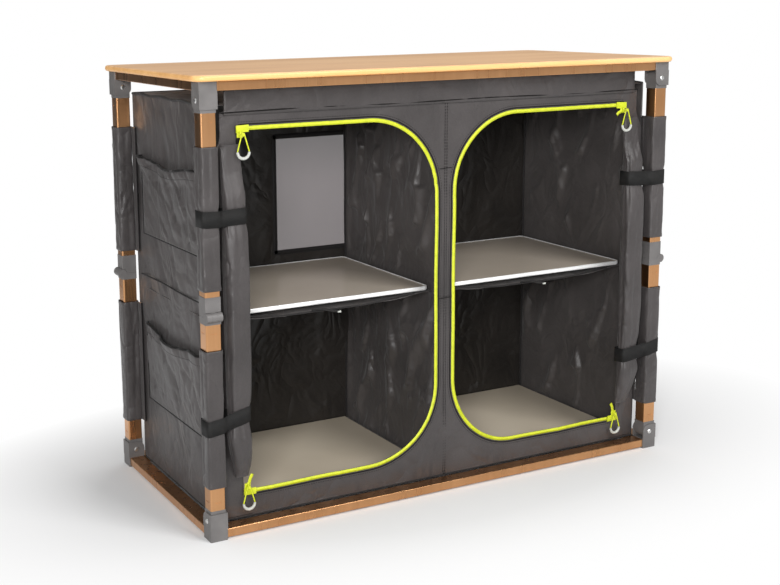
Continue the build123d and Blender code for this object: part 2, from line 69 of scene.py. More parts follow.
# Camera at the photograph's place
def aim_camera():
    yaw, pitch, roll = 0.469803, 0.177471, -0.0137885
    look = Vector((math.sin(yaw) * math.cos(pitch), math.cos(yaw) * math.cos(pitch), -math.sin(pitch)))
    right0 = Vector((math.cos(yaw), -math.sin(yaw), 0))
    up0 = right0.cross(look)
    right = math.cos(roll) * right0 + math.sin(roll) * up0
    up = -math.sin(roll) * right0 + math.cos(roll) * up0
    data = bpy.data.cameras.new("camera")
    data.sensor_width = 36
    data.lens = 58.366
    data.shift_x = 0.1151
    data.shift_y = -0.0801
    data.clip_start = 0.05
    cam = bpy.data.objects.new("camera", data)
    turn = Matrix((right, up, -look)).transposed().to_4x4()
    cam.matrix_world = Matrix.Translation((-1.298481, -2.149585, 0.924413)) @ turn
    bpy.context.scene.collection.objects.link(cam)
    bpy.context.scene.camera = cam


aim_camera()


# Materials
class Nodes:
    """A small helper to wire a node material."""

    def __init__(self, name):
        self.mat = bpy.data.materials.new(name)
        self.mat.use_nodes = True
        self.tree = self.mat.node_tree
        self.shader = self.tree.nodes["Principled BSDF"]
        self.coord = self.tree.nodes.new("ShaderNodeTexCoord").outputs["Object"]

    def node(self, kind, ins=None, **props):
        n = self.tree.nodes.new(kind)
        for key, value in props.items():
            setattr(n, key, value)
        for key, value in (ins or {}).items():
            if hasattr(value, "is_output"):
                self.tree.links.new(value, n.inputs[key])
            else:
                n.inputs[key].default_value = value
        return n

    def link(self, out, to):
        self.tree.links.new(out, to)

    def stretch(self, x, y, z):
        return self.node("ShaderNodeMapping", {"Vector": self.coord, "Scale": (x, y, z)}).outputs[0]

    def noise(self, scale, detail=3.0, rough=0.5, vector=None, distortion=0.0):
        ins = {"Vector": vector or self.coord, "Scale": scale, "Detail": detail, "Roughness": rough}
        ins["Distortion"] = distortion
        return self.node("ShaderNodeTexNoise", ins).outputs["Fac"]

    def math(self, op, a, b=0.0):
        return self.node("ShaderNodeMath", {0: a, 1: b}, operation=op).outputs[0]

    def total(self, *parts):
        """The sum of (value, weight) pairs."""
        value = None
        for part, weight in parts:
            share = self.math("MULTIPLY", part, weight)
            value = share if value is None else self.math("ADD", value, share)
        return value

    def ridges(self, height):
        """Sharp lines where a noise crosses its middle."""
        return self.math("ABSOLUTE", self.math("SUBTRACT", height, 0.5))

    def ramp(self, fac, stops):
        n = self.node("ShaderNodeValToRGB", {"Fac": fac})
        stops = list(stops)
        while len(n.color_ramp.elements) < len(stops):
            n.color_ramp.elements.new(0.5)
        for el, (pos, col) in zip(n.color_ramp.elements, stops):
            el.position = pos
            el.color = (*col, 1)
        return n.outputs["Color"]

    def remap(self, fac, a, b, c, d):
        n = self.node("ShaderNodeMapRange", {"Value": fac, 1: a, 2: b, 3: c, 4: d})
        return n.outputs[0]

    def mix(self, fac, a, b):
        n = self.tree.nodes.new("ShaderNodeMix")
        n.data_type = "RGBA"
        for key, value in ((0, fac), (6, a), (7, b)):
            self.link(value, n.inputs[key])
        return n.outputs[2]

    def bump(self, layers):
        """Bump from (height, strength, distance) layers, one over another."""
        normal = None
        for height, strength, distance in layers:
            ins = {"Height": height, "Strength": strength, "Distance": distance}
            if normal is not None:
                ins["Normal"] = normal
            normal = self.node("ShaderNodeBump", ins).outputs[0]
        self.link(normal, self.shader.inputs["Normal"])

    def axis(self, which):
        sep = self.node("ShaderNodeSeparateXYZ", {0: self.coord})
        return sep.outputs[which]

    def sets(self, **values):
        for key, value in values.items():
            socket = self.shader.inputs[key.replace("_", " ")]
            if hasattr(value, "is_output"):
                self.link(value, socket)
            else:
                socket.default_value = (*value, 1) if isinstance(value, tuple) else value
        return self.mat


def weave(n, pitch):
    """A plain weave's height, on any upright or level cloth."""
    k = math.pi / pitch
    x, y, z = (n.axis(i) for i in range(3))
    across = n.math("ADD", x, y)
    along = n.math("ADD", z, n.math("MULTIPLY", y, 0.31))
    threads = [n.math("SINE", n.math("MULTIPLY", way, k)) for way in (across, along)]
    return n.math("MULTIPLY", *threads)


def cloth_material(name, dark, light, rough=0.5, wrinkle=1.0, shine=0.45):
    n = Nodes(name)
    cloud = n.noise(7.0, 4.0, 0.6)
    fine = n.noise(620.0, 2.0, 0.7)
    tone = n.total((cloud, 0.62), (fine, 0.38))
    n.sets(Base_Color=n.ramp(tone, [(0.32, dark), (0.68, light)]))
    large = n.ridges(n.noise(13.0, 2.0, 0.5, n.stretch(1, 1, 0.75), 0.8))
    small = n.ridges(n.noise(40.0, 2.0, 0.5, distortion=0.5))
    n.bump([
        (large, 0.5 * wrinkle, 0.024),
        (small, 0.2 * wrinkle, 0.006),
        (weave(n, 0.0011), 0.25, 0.0002),
    ])
    n.sets(Roughness=n.remap(cloud, 0.3, 0.7, rough - 0.07, rough + 0.08))
    n.sets(Specular_IOR_Level=shine, Sheen_Weight=0.08, Sheen_Roughness=0.5)
    return n.mat


def bronze_material():
    n = Nodes("bronze_tube")
    streaks = n.noise(60.0, 4.0, 0.6, n.stretch(1, 1, 0.02))
    cloud = n.noise(9.0, 2.0)
    tone = n.total((streaks, 0.5), (cloud, 0.5))
    n.sets(Base_Color=n.ramp(tone, [(0.3, (0.52, 0.26, 0.115)), (0.7, (0.66, 0.36, 0.175))]))
    scratch = n.noise(700.0, 2.0, 0.6, n.stretch(1, 1, 0.01))
    n.bump([(scratch, 0.12, 0.0003)])
    return n.sets(Metallic=1.0, Roughness=n.remap(streaks, 0.3, 0.7, 0.24, 0.36))


def even_material(name, scale, dark, light, rough, relief, **sockets):
    """Colour and roughness that wander with one noise; relief(n, cloud) gives the bump's layers."""
    n = Nodes(name)
    cloud = n.noise(scale, 3.0)
    n.sets(Base_Color=n.ramp(cloud, [(0.3, dark), (0.7, light)]))
    n.bump(relief(n, cloud))
    return n.sets(Roughness=n.remap(cloud, 0.3, 0.7, *rough), **sockets)


def grey_material(name):
    """Grey moulded plastic with a fine grain."""
    return even_material(
        name, 30.0, (0.112, 0.106, 0.104), (0.152, 0.144, 0.141), (0.42, 0.55),
        lambda n, cloud: [(n.noise(1800.0, 2.0), 0.25, 0.0002)],
    )


def steel_material():
    return even_material(
        "rivet_steel", 400.0, (0.55, 0.55, 0.54), (0.75, 0.75, 0.74), (0.25, 0.4),
        lambda n, cloud: [(cloud, 0.15, 0.0003)], Metallic=1.0,
    )


def board_material():
    """Pale wood with its grain along X, richer and brighter on the rounded edge, partly its own colour and
    partly a painted highlight.
    """
    n = Nodes("wood_board")
    long_grain = n.noise(55.0, 6.0, 0.65, n.stretch(0.05, 1, 1), 0.6)
    fibre = n.noise(600.0, 3.0, 0.6, n.stretch(0.02, 1, 1))
    strip = n.noise(14.0, 1.0, 0.4, n.stretch(0.12, 1, 0.3))
    tone = n.total((long_grain, 0.5), (fibre, 0.25), (strip, 0.25))
    stops = (0.35, 0.52, 0.68)
    face = n.ramp(tone, zip(stops, ((0.60, 0.345, 0.17), (0.74, 0.45, 0.235), (0.82, 0.54, 0.30))))
    # The rounded edge's colour is raised so that it also stands for the highlight along the edge: painted
    # highlight over the wood's own edge colour
    edge = n.ramp(tone, zip(stops, ((0.74, 0.38, 0.13), (0.86, 0.48, 0.18), (0.92, 0.56, 0.25))))
    round_low, face_level = 0.8085, 0.8108
    top = n.remap(n.axis(2), round_low, face_level, 0.0, 1.0)
    n.sets(Base_Color=n.mix(top, edge, face))
    n.bump([(long_grain, 0.06, 0.0008), (fibre, 0.12, 0.0003)])
    n.sets(Roughness=n.remap(long_grain, 0.3, 0.7, 0.36, 0.5))
    return n.sets(Coat_Weight=0.12, Coat_Roughness=0.4)


def laminate_material(name, scale, dark, light, grain, rough, **sockets):
    """Satin laminate with a fine speck."""
    n = Nodes(name)
    cloud = n.noise(scale, 3.0)
    speck = n.noise(1400.0, 2.0)
    n.sets(Base_Color=n.ramp(n.total((cloud, 0.6), (speck, 0.4)), [(0.3, dark), (0.7, light)]))
    n.bump([(speck, grain, 0.0002)])
    return n.sets(Roughness=n.remap(cloud, 0.3, 0.7, *rough), **sockets)


def shelf_material():
    return laminate_material(
        "shelf_board", 5.0, (0.47, 0.405, 0.33), (0.56, 0.49, 0.41), 0.08, (0.17, 0.20),
        Specular_IOR_Level=0.75,
    )


def floor_board_material():
    return laminate_material("floor_board", 6.0, (0.56, 0.48, 0.37), (0.66, 0.58, 0.46), 0.1, (0.30, 0.42))


def edge_material():
    """Bright strip round the shelves, brushed along X."""
    return even_material(
        "shelf_edge", 200.0, (0.82, 0.82, 0.81), (0.90, 0.90, 0.89), (0.28, 0.4),
        lambda n, cloud: [(n.noise(900.0, 2.0, 0.6, n.stretch(0.02, 1, 1)), 0.1, 0.0002)], Metallic=0.3,
    )


def lime_material():
    return even_material(
        "zip_lime", 120.0, (0.50, 0.56, 0.010), (0.62, 0.67, 0.022), (0.40, 0.55),
        lambda n, cloud: [(weave(n, 0.0008), 0.3, 0.0002)],
    )


def strap_material():
    """Black webbing, ribbed along its length."""

    def webbing(n, cloud):
        ribs = n.math("SINE", n.math("MULTIPLY", n.axis(2), math.pi / 0.0012))
        return [(ribs, 0.4, 0.0003), (weave(n, 0.0016), 0.4, 0.0003)]

    return even_material(
        "strap_black", 90.0, (0.005, 0.005, 0.005), (0.012, 0.0115, 0.011), (0.6, 0.75),
        webbing, Specular_IOR_Level=0.3,
    )


def grip_material():
    """Pale grey moulded plastic, for the pulls' grips and the sling tabs' tips."""
    return even_material(
        "pull_cord", 300.0, (0.42, 0.43, 0.40), (0.50, 0.51, 0.47), (0.4, 0.5),
        lambda n, cloud: [(cloud, 0.2, 0.0003)],
    )


def window_material():
    """Fine insect mesh: threads with see-through gaps between them."""
    n = Nodes("window_mesh")
    k = math.pi / 0.0011
    waves_each_way = [n.math("SINE", n.math("MULTIPLY", n.axis(i), k)) for i in (0, 2)]
    gap = n.math("MULTIPLY", *[n.math("ABSOLUTE", wave) for wave in waves_each_way])
    cloud = n.noise(8.0, 2.0)
    n.sets(Base_Color=n.ramp(cloud, [(0.3, (0.165, 0.135, 0.140)), (0.7, (0.18, 0.148, 0.153))]))
    n.bump([(gap, 0.1, 0.0002)])
    alpha = n.remap(gap, 0.25, 0.75, 1.0, 0.66)
    return n.sets(Alpha=alpha, Roughness=n.remap(cloud, 0.3, 0.7, 0.6, 0.75))


charcoal = cloth_material("cloth_charcoal", (0.030, 0.0262, 0.0258), (0.066, 0.0585, 0.058), 0.46)
lining = cloth_material("cloth_lining", (0.034, 0.030, 0.029), (0.075, 0.067, 0.065), 0.47, 1.0, 0.56)
# A darker copy of the lining: painted shade, for the rear wall deep inside the compartments
shaded_lining = cloth_material("cloth_lining_painted_shade", (0.012, 0.010, 0.0085), (0.024, 0.020, 0.017), 0.4, 1.2)
binding = cloth_material("cloth_binding", (0.009, 0.008, 0.008), (0.018, 0.016, 0.016), 0.6, 0.4, 0.25)
# Near-black seam thread; where its cords stand for the dark lines at the top seam and at the pockets' mouths
# it is also painted shade
thread_and_shade = cloth_material("seam_thread_and_painted_shade", (0.0035, 0.003, 0.003), (0.008, 0.0065, 0.006), 0.7, 0.3, 0.15)
bronze = bronze_material()
grey = grey_material("bracket_grey")
fittings = grey_material("leg_fittings")
steel = steel_material()
lime = lime_material()
black = strap_material()
grip = grip_material()


# Mesh helpers
def grid_faces(n, m, loop_u=False, loop_v=False):
    i, j = np.meshgrid(np.arange(n - (not loop_u)), np.arange(m - (not loop_v)), indexing="ij")
    i2, j2 = (i + 1) % n, (j + 1) % m
    return np.stack([i * m + j, i2 * m + j, i2 * m + j2, i * m + j2], -1).reshape(-1, 4)


def finish_mesh(obj, thick=0.0, offset=0.0, weld=0.0):
    """Gives a surface its thickness and leaves a plain mesh with no modifiers."""
    if weld:
        mod = obj.modifiers.new("weld", "WELD")
        mod.merge_threshold = weld * MM
    if thick:
        mod = obj.modifiers.new("thick", "SOLIDIFY")
        mod.thickness = thick * MM
        mod.offset = offset
    if obj.modifiers:
        bpy.context.view_layer.update()
        graph = bpy.context.evaluated_depsgraph_get()
        made = bpy.data.meshes.new_from_object(obj.evaluated_get(graph))
        obj.modifiers.clear()
        obj.data = made
    return obj


def piece(name, verts, faces, mat, body="base", slot="cabinet_fabric", smooth=True, **form):
    verts = np.asarray(verts, float).reshape(-1, 3) * MM
    data = bpy.data.meshes.new(name)
    data.from_pydata(verts.tolist(), [], [tuple(int(i) for i in f) for f in faces])
    data.update()
    if smooth:
        data.polygons.foreach_set("use_smooth", [True] * len(data.polygons))
    data.materials.append(mat)
    obj = bpy.data.objects.new(name, data)
    bpy.context.scene.collection.objects.link(obj)
    finish_mesh(obj, **form)
    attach(obj, body)
    if body == "base":
        soft_pieces.append(obj)
    return obj


def points(x, y, z):
    """Points from coordinates, each an array or one number."""
    return np.stack(np.broadcast_arrays(x, y, z), -1).astype(float)


def unit(v):
    return v / np.maximum(np.linalg.norm(v, axis=-1, keepdims=True), 1e-9)


def sweep(path, across, out, section, closed=False):
    """Vertices and faces of a closed section drawn along a path."""
    path = np.asarray(path, float)
    across, out = (np.broadcast_to(np.asarray(a, float), path.shape) for a in (across, out))
    section = np.asarray(section, float)
    if section.ndim == 2:
        section = np.broadcast_to(section, (len(path), *section.shape))
    verts = path[:, None] + section[..., :1] * across[:, None] + section[..., 1:] * out[:, None]
    n, m = verts.shape[:2]
    faces = [tuple(f) for f in grid_faces(n, m, closed, True)]
    if not closed:
        faces += [tuple(range(m))[::-1], tuple((n - 1) * m + k for k in range(m))]
    return verts.reshape(-1, 3), faces


def round_section(radius, sides=8, flat=1.0):
    a = np.arange(sides) * 2 * math.pi / sides
    return np.stack([np.cos(a) * radius, np.sin(a) * radius * flat], -1)


def flat_section(half, back, front):
    return [(-half, back), (-half, front), (half, front), (half, back)]


def band_section(half, bevel, back, shoulder, front):
    """A flat band's outline, with its two front edges taken off."""
    left = [(-half, back), (-half, shoulder), (bevel - half, front)]
    return left + [(-a, b) for a, b in reversed(left)]


def join(parts):
    """Several (vertices, faces) as one."""
    verts, faces, base = [], [], 0
    for v, f in parts:
        verts.append(np.asarray(v).reshape(-1, 3))
        faces += [tuple(int(i) + base for i in one) for one in f]
        base += len(verts[-1])
    return np.concatenate(verts), faces


def line_frame(path, out):
    """Across and out vectors along a path, kept square to it."""
    path = np.asarray(path, float)
    along = unit(np.gradient(path, axis=0))
    out = np.broadcast_to(np.asarray(out, float), path.shape)
    across = unit(np.cross(along, out))
    return across, unit(np.cross(across, along))


def cord_along(path, radius, out=FORWARD, sides=8):
    across, out = line_frame(path, out)
    return sweep(path, across, out, round_section(radius, sides))


def smooth_line(marks, count, closed=False):
    """Catmull-Rom through a few marks."""
    p = np.asarray(marks, float)
    n = len(p)
    t = np.linspace(0, n if closed else n - 1, count, endpoint=not closed)
    i = np.minimum(t.astype(int), n - 1 if closed else n - 2)
    f = (t - i)[:, None]

    def at(k):
        return p[k % n] if closed else p[np.clip(k, 0, n - 1)]

    a, b, c, d = at(i - 1), at(i), at(i + 1), at(i + 2)
    square, cube = 2 * a - 5 * b + 4 * c - d, 3 * b - a - 3 * c + d
    return 0.5 * (2 * b + (c - a) * f + square * f**2 + cube * f**3)


def slide_in(x, a, b):
    t = np.clip((x - a) / (b - a), 0, 1)
    return t * t * (3 - 2 * t)


def creases(
    u, v, seed, count, span, depth=(0.5, 2.0), width=(2.0, 6.0), length=(60, 240), lean=1.57, spread=0.6
):
    """Sharp folds scattered over a cloth, as a height in millimetres."""
    rng = np.random.default_rng(seed)
    h = np.zeros(np.broadcast(u, v).shape)
    for _ in range(count):
        cu, cv = rng.uniform(span[0], span[1]), rng.uniform(span[2], span[3])
        a = lean + rng.normal(0, spread)
        size, wide = rng.uniform(*length), rng.uniform(*width)
        deep = rng.uniform(*depth) * rng.choice([-1, 1])
        bend = rng.uniform(-0.25, 0.25)
        du, dv = u - cu, v - cv
        along = du * math.cos(a) + dv * math.sin(a)
        across = -du * math.sin(a) + dv * math.cos(a) + bend * along**2 / size
        h += deep * np.exp(-np.abs(across) / wide) * np.exp(-((2 * along / size) ** 2))
    return h


def waves(u, v, seed, height=1.0, size=(90, 300), count=6):
    rng = np.random.default_rng(seed)
    h = np.zeros(np.broadcast(u, v).shape)
    for _ in range(count):
        a, k = rng.uniform(0, math.pi), 2 * math.pi / rng.uniform(*size)
        h += np.sin(k * (u * math.cos(a) + v * math.sin(a)) + rng.uniform(0, 6.3))
    return height * h / math.sqrt(count)


def crumple(u, v, seed, height=3.0, cell=34.0, lean=1.3, long=2.8):
    """Facets between sharp ridges, drawn out one way, as on coated cloth that was packed flat."""
    rng = np.random.default_rng(seed)
    su = u + waves(u, v, seed + 1, 5.0, (80, 200), 4)
    sv = v + waves(u, v, seed + 2, 5.0, (80, 200), 4)
    along = (su * math.cos(lean) + sv * math.sin(lean)) / (cell * long)
    across = (-su * math.sin(lean) + sv * math.cos(lean)) / cell
    iu, iv = np.floor(along).astype(int), np.floor(across).astype(int)
    lows = iu.min() - 1, iv.min() - 1
    size = iu.max() - lows[0] + 2, iv.max() - lows[1] + 2
    spots = rng.uniform(0, 1, (*size, 2))
    tops = rng.uniform(0.25, 1.0, size)
    tilts = rng.uniform(-0.9, 0.9, (*size, 2))
    best = np.full(u.shape, 9.0)
    h = np.zeros(u.shape)
    for di in (-1, 0, 1):
        for dj in (-1, 0, 1):
            ci, cj = iu + di - lows[0], iv + dj - lows[1]
            ci, cj = np.clip(ci, 0, size[0] - 1), np.clip(cj, 0, size[1] - 1)
            da = along - (iu + di) - spots[ci, cj, 0]
            db = across - (iv + dj) - spots[ci, cj, 1]
            far = np.hypot(da, db)
            closer = far < best
            best = np.where(closer, far, best)
            facet = tops[ci, cj] * (0.9 - far) + da * tilts[ci, cj, 0] * 0.5 + db * tilts[ci, cj, 1]
            h = np.where(closer, facet, h)
    return height * h


def soften(h, passes):
    """Averages each grid point with its neighbours."""
    for _ in range(passes):
        p = np.pad(h, 1, "edge")
        h = (p[1:-1, 1:-1] * 4 + p[:-2, 1:-1] + p[2:, 1:-1] + p[1:-1, :-2] + p[1:-1, 2:]) / 8
    return h


def edge_mask(u, v, span, reach):
    """1 inside a panel, falling to 0 at its sewn edges."""
    near = np.minimum(np.minimum(u - span[0], span[1] - u), np.minimum(v - span[2], span[3] - v))
    return slide_in(near, 0, reach)


# The front panel, with two door openings
def front_y(x, z):
    """How far the front cloth lies from its plane, in millimetres, to the front when negative."""
    calm = 1 - slide_in(np.abs(x), 380, 410)
    calm = calm * slide_in(z, 20, 60) * (1 - slide_in(z, 715, 742))
    h = waves(x, z, 11, 1.1, (120, 360))
    h = h + creases(x, z, 12, 90, (-440, 440, 20, 740), (0.4, 1.5), (2, 7), (50, 220))
    middle_seam = 0.5 * np.exp(-np.abs(x) / 1.6)
    return h * calm - middle_seam


def door_ring(side, grow, step, whole=False):
    """Points round a door opening with their outward normals, from the top outer end."""
    r = DOOR_R + grow
    end = DOOR_OUT if whole else ZIP_END
    inner = DOOR_IN + DOOR_R
    pts, nrm = [], []

    def line(x0, z0, x1, z1, n):
        count = max(2, int(math.hypot(x1 - x0, z1 - z0) / step))
        for k in range(count):
            f = k / count
            pts.append((x0 + (x1 - x0) * f, z0 + (z1 - z0) * f))
            nrm.append(n)

    def arc(cz, a0, a1):
        count = max(4, int(r * abs(a1 - a0) / step))
        for k in range(count):
            a = a0 + (a1 - a0) * k / count
            pts.append((inner + r * math.cos(a), cz + r * math.sin(a)))
            nrm.append((math.cos(a), math.sin(a)))

    def corner(z, a0, a1):
        for k in range(9):
            a = a0 + (a1 - a0) * k / 8
            pts.append((DOOR_OUT, z))
            nrm.append((math.cos(a), math.sin(a)))

    line(end, DOOR_HIGH + grow, inner, DOOR_HIGH + grow, (0, 1))
    arc(DOOR_HIGH - DOOR_R, math.pi / 2, math.pi)
    line(DOOR_IN - grow, DOOR_HIGH - DOOR_R, DOOR_IN - grow, DOOR_LOW + DOOR_R, (-1, 0))
    arc(DOOR_LOW + DOOR_R, math.pi, 1.5 * math.pi)
    line(inner, DOOR_LOW - grow, end, DOOR_LOW - grow, (0, -1))
    if whole:
        corner(DOOR_LOW, -math.pi / 2, 0)
        line(DOOR_OUT, DOOR_LOW, DOOR_OUT, DOOR_HIGH, (1, 0))
        corner(DOOR_HIGH, 0, math.pi / 2)
    else:
        pts.append((end, DOOR_LOW - grow))
        nrm.append((0, -1))
    pts, nrm = np.array(pts), np.array(nrm, float)
    pts[:, 0] *= side
    nrm[:, 0] *= side
    return pts, nrm


def front_panel():
    shoulder_in = 16.0
    parts = []
    for side in (-1, 1):
        pts, nrm = door_ring(side, 0, 5.0, whole=True)
        x, nx = pts[:, 0] * side, nrm[:, 0] * side
        z, nz = pts[:, 1], nrm[:, 1]
        reach = np.full(len(x), 1e9)
        for n, d in ((nx, CAB_X - x), (-nx, x), (nz, PANEL_TOP - z), (-nz, z - CAB_LOW)):
            ok = n > 1e-6
            reach[ok] = np.minimum(reach[ok], d[ok] / n[ok])
        rows = np.linspace(0, 1, 15)
        gx = x[:, None] + nx[:, None] * reach[:, None] * rows
        gz = z[:, None] + nz[:, None] * reach[:, None] * rows
        gx = np.minimum(gx, CAB_X - shoulder_in * slide_in(gz, 660, 706))
        gy = -CAB_Y + HALF_CLOTH + front_y(gx * side, gz)
        v = points(gx * side, gy, gz)
        f = grid_faces(len(x), len(rows), loop_u=True)
        parts.append((v, f if side > 0 else f[:, ::-1]))
    verts, faces = join(parts)
    obj = piece("front_panel", verts, faces, charcoal, weld=0.4, thick=1.0)
    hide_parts("cabinet_cloth")


# Plain panels
def panel(name, axis, at, u_span, v_span, height, mat, thick=1.0, step=4.5, hole=None):
    """A cloth panel square to an axis; height(u, v) moves it along that axis."""

    def marks(span, cuts):
        stops = sorted({span[0], span[1], *cuts})
        out = []
        for a, b in zip(stops, stops[1:]):
            out += list(np.linspace(a, b, max(2, round((b - a) / step) + 1)))[:-1]
        return np.array(out + [stops[-1]])

    us = marks(u_span, (hole[0], hole[1]) if hole else ())
    vs = marks(v_span, (hole[2], hole[3]) if hole else ())
    u, v = np.meshgrid(us, vs, indexing="ij")
    h = at + height(u, v)
    order = {"x": (h, u, v), "y": (u, h, v), "z": (u, v, h)}[axis]
    verts = np.stack(order, -1)
    faces = grid_faces(len(us), len(vs))
    if hole:
        cu = (us[:-1] + us[1:])[:, None] / 2 + 0 * vs[None, :-1]
        cv = (vs[:-1] + vs[1:])[None, :] / 2 + 0 * us[:-1, None]
        inside = (cu > hole[0]) & (cu < hole[1]) & (cv > hole[2]) & (cv < hole[3])
        faces = faces[~inside.ravel()]
    return piece(name, verts, faces, mat, thick=thick)


def face_outwards(obj, axis, sign, mat):
    """Gives a panel's outer side its own cloth."""
    obj.data.materials.append(mat)
    for poly in obj.data.polygons:
        if poly.normal[axis] * sign > 0.3:
            poly.material_index = 1


def wall_height(seed, span, depth, count, lean=1.57, spread=0.55, big=2.0, packed=0.0, cell=34.0):
    """The relief of a sewn-in wall: waves, creases and, where it was packed, crumples."""
    sewn_reach = 30.0

    def height(u, v):
        h = waves(u, v, seed, big)
        h = h + creases(u, v, seed + 1, count, span, depth, (2.0, 6.5), (70, 300), lean, spread)
        if packed:
            h = h + soften(crumple(u, v, seed + 2, packed, cell, lean), 3)
            h = h + soften(crumple(u, v, seed + 5, 0.6 * packed, 1.6 * cell, lean + 0.35), 4)
        return h * edge_mask(u, v, span, sewn_reach)

    return height


def inwards(h, deep):
    """Rounds a relief off so that it stays between a depth and the panel's own plane."""
    return 0.5 * deep * (np.tanh(h / (0.5 * deep)) - 1.0)


def pleats(u, v, folds):
    """Long folds between two points each: (u0, v0, u1, v1, depth, half width)."""
    h = np.zeros(u.shape)
    for u0, v0, u1, v1, deep, wide in folds:
        size = math.hypot(u1 - u0, v1 - v0)
        a, b = (u1 - u0) / size, (v1 - v0) / size
        along = ((u - u0) * a + (v - v0) * b) / size
        across = -(u - u0) * b + (v - v0) * a
        room = slide_in(along, -0.15, 0.15) * (1 - slide_in(along, 0.8, 1.1))
        h += deep * room * np.where(across > 0, np.exp(-across / wide), np.exp(across / (0.35 * wide)))
    return h


def clear_of_shelf(v):
    """Less relief beside the shelf boards, which end a few millimetres off the cloth."""
    return 1 - 0.8 * np.exp(-(((v - SHELF_MID) / 16.0) ** 4))


def walls():
    side_span = (-CAB_Y, CAB_Y, CAB_LOW, CAB_HIGH)
    wide, deep, high = (-CAB_X, CAB_X), (-CAB_Y, CAB_Y), (CAB_LOW, CAB_HIGH)
    left_base = wall_height(21, side_span, (0.5, 1.8), 60, 1.2, 0.5, 2.2, packed=5.0, cell=48.0)

    def left_height(u, v):
        return -inwards(left_base(u, v), 7.0) * edge_mask(u, v, side_span, 24)

    left = panel("left_wall", "x", -CAB_X + HALF_CLOTH, deep, high, left_height, charcoal)
    right_base = wall_height(31, side_span, (0.4, 1.6), 40, 1.9, 0.5, 3.0, packed=26.0, cell=46.0)
    right_folds = [
        (150, 745, -60, 480, 9, 26), (120, 745, 20, 420, -7, 18), (-40, 750, -150, 500, 6, 20),
        (60, 350, -90, 80, 7, 22), (140, 330, 60, 60, -6, 18), (-20, 360, -150, 200, 6, 18),
    ]

    def right_height(u, v):
        h = right_base(u, v) + pleats(u, v, right_folds) * edge_mask(u, v, side_span, 30)
        return inwards(h, 13.0) * edge_mask(u, v, side_span, 24) * clear_of_shelf(v)

    right = panel("right_wall", "x", CAB_X - HALF_CLOTH, deep, high, right_height, lining, step=3.6)
    middle_base = wall_height(41, side_span, (0.4, 1.5), 40, 1.78, 0.4, 1.6, packed=26.0, cell=34.0)

    def middle_height(u, v):
        h = middle_base(u, v) - 4.0 * edge_mask(u, v, side_span, 30)
        return 7.0 * np.tanh(h / 7.0) * clear_of_shelf(v)

    middle = panel("divider", "x", 0.0, deep, (24.0, CAB_HIGH), middle_height, lining, step=3.2)
    rear_span = (*wide, *high)
    rear_base = wall_height(51, rear_span, (0.5, 2.0), 60, 1.2, 0.6, 2.0, packed=3.0, cell=60.0)
    hole_mid, hole_half = (WINDOW[2] + WINDOW[3]) / 2, (WINDOW[3] - WINDOW[2]) / 2

    def rear_height(u, v):
        beside_window = np.maximum(np.abs(u) - WINDOW[1], np.abs(v - hole_mid) - hole_half)
        calm = slide_in(beside_window, 2, 40) * edge_mask(u, v, rear_span, 24) * clear_of_shelf(v)
        return inwards(rear_base(u, v), 8.0) * calm

    # The rear wall's inner face takes the darker copy of the lining, as painted shade
    rear = panel("rear_wall", "y", CAB_Y - HALF_CLOTH, wide, high, rear_height, shaded_lining, hole=WINDOW)
    face_outwards(rear, 1, 1, charcoal)
    face_outwards(right, 0, 1, charcoal)
    top_span = (*wide, *deep)
    top_base = wall_height(61, top_span, (0.4, 1.4), 60, 0.0, 0.9, 1.5)

    def ceiling_height(u, v):
        return top_base(u, v) - 3.0 * edge_mask(u, v, top_span, 90)

    ceiling = panel("ceiling", "z", CAB_HIGH - HALF_CLOTH, wide, deep, ceiling_height, lining, step=6)
    floor = panel("cabinet_floor", "z", FLOOR_Z, wide, deep, lambda u, v: 0 * u, lining, step=8)


def slings():
    """The cloth under each shelf, a little slack at its front hem."""
    back_of_hem = -60
    for side, name in SIDES:
        span = tuple(sorted((side * 1.0, side * (CAB_X - 1.0))))

        def height(u, v, span=span, seed=71 + side):
            mid = edge_mask(u, v, (*span, -400, 400), 120)
            front = 1 - slide_in(v, SHELF_FRONT, back_of_hem)
            sag = -9.0 * mid * front
            area = (*span, SHELF_FRONT, back_of_hem)
            fold = creases(u, v, seed, 26, area, (0.5, 2.0), (3, 8), (40, 160), 0.0, 0.4)
            return np.minimum(sag + fold * front * mid - 1.5 * front, 0.0)

        ends = (SHELF_FRONT, CAB_Y - 1)
        obj = panel(f"shelf_sling_{name}", "z", SLING_Z - 0.3, span, ends, height, lining, thick=0.9)


def rounded_plan(x0, x1, y0, y1, radius, steps=8):
    pts = []
    for cx, cy, a0 in (
        (x1 - radius, y1 - radius, 0.0), (x0 + radius, y1 - radius, 0.5 * math.pi),
        (x0 + radius, y0 + radius, math.pi), (x1 - radius, y0 + radius, 1.5 * math.pi),
    ):
        for k in range(steps + 1):
            a = a0 + 0.5 * math.pi * k / steps
            pts.append((cx + radius * math.cos(a), cy + radius * math.sin(a)))
    return np.array(pts)


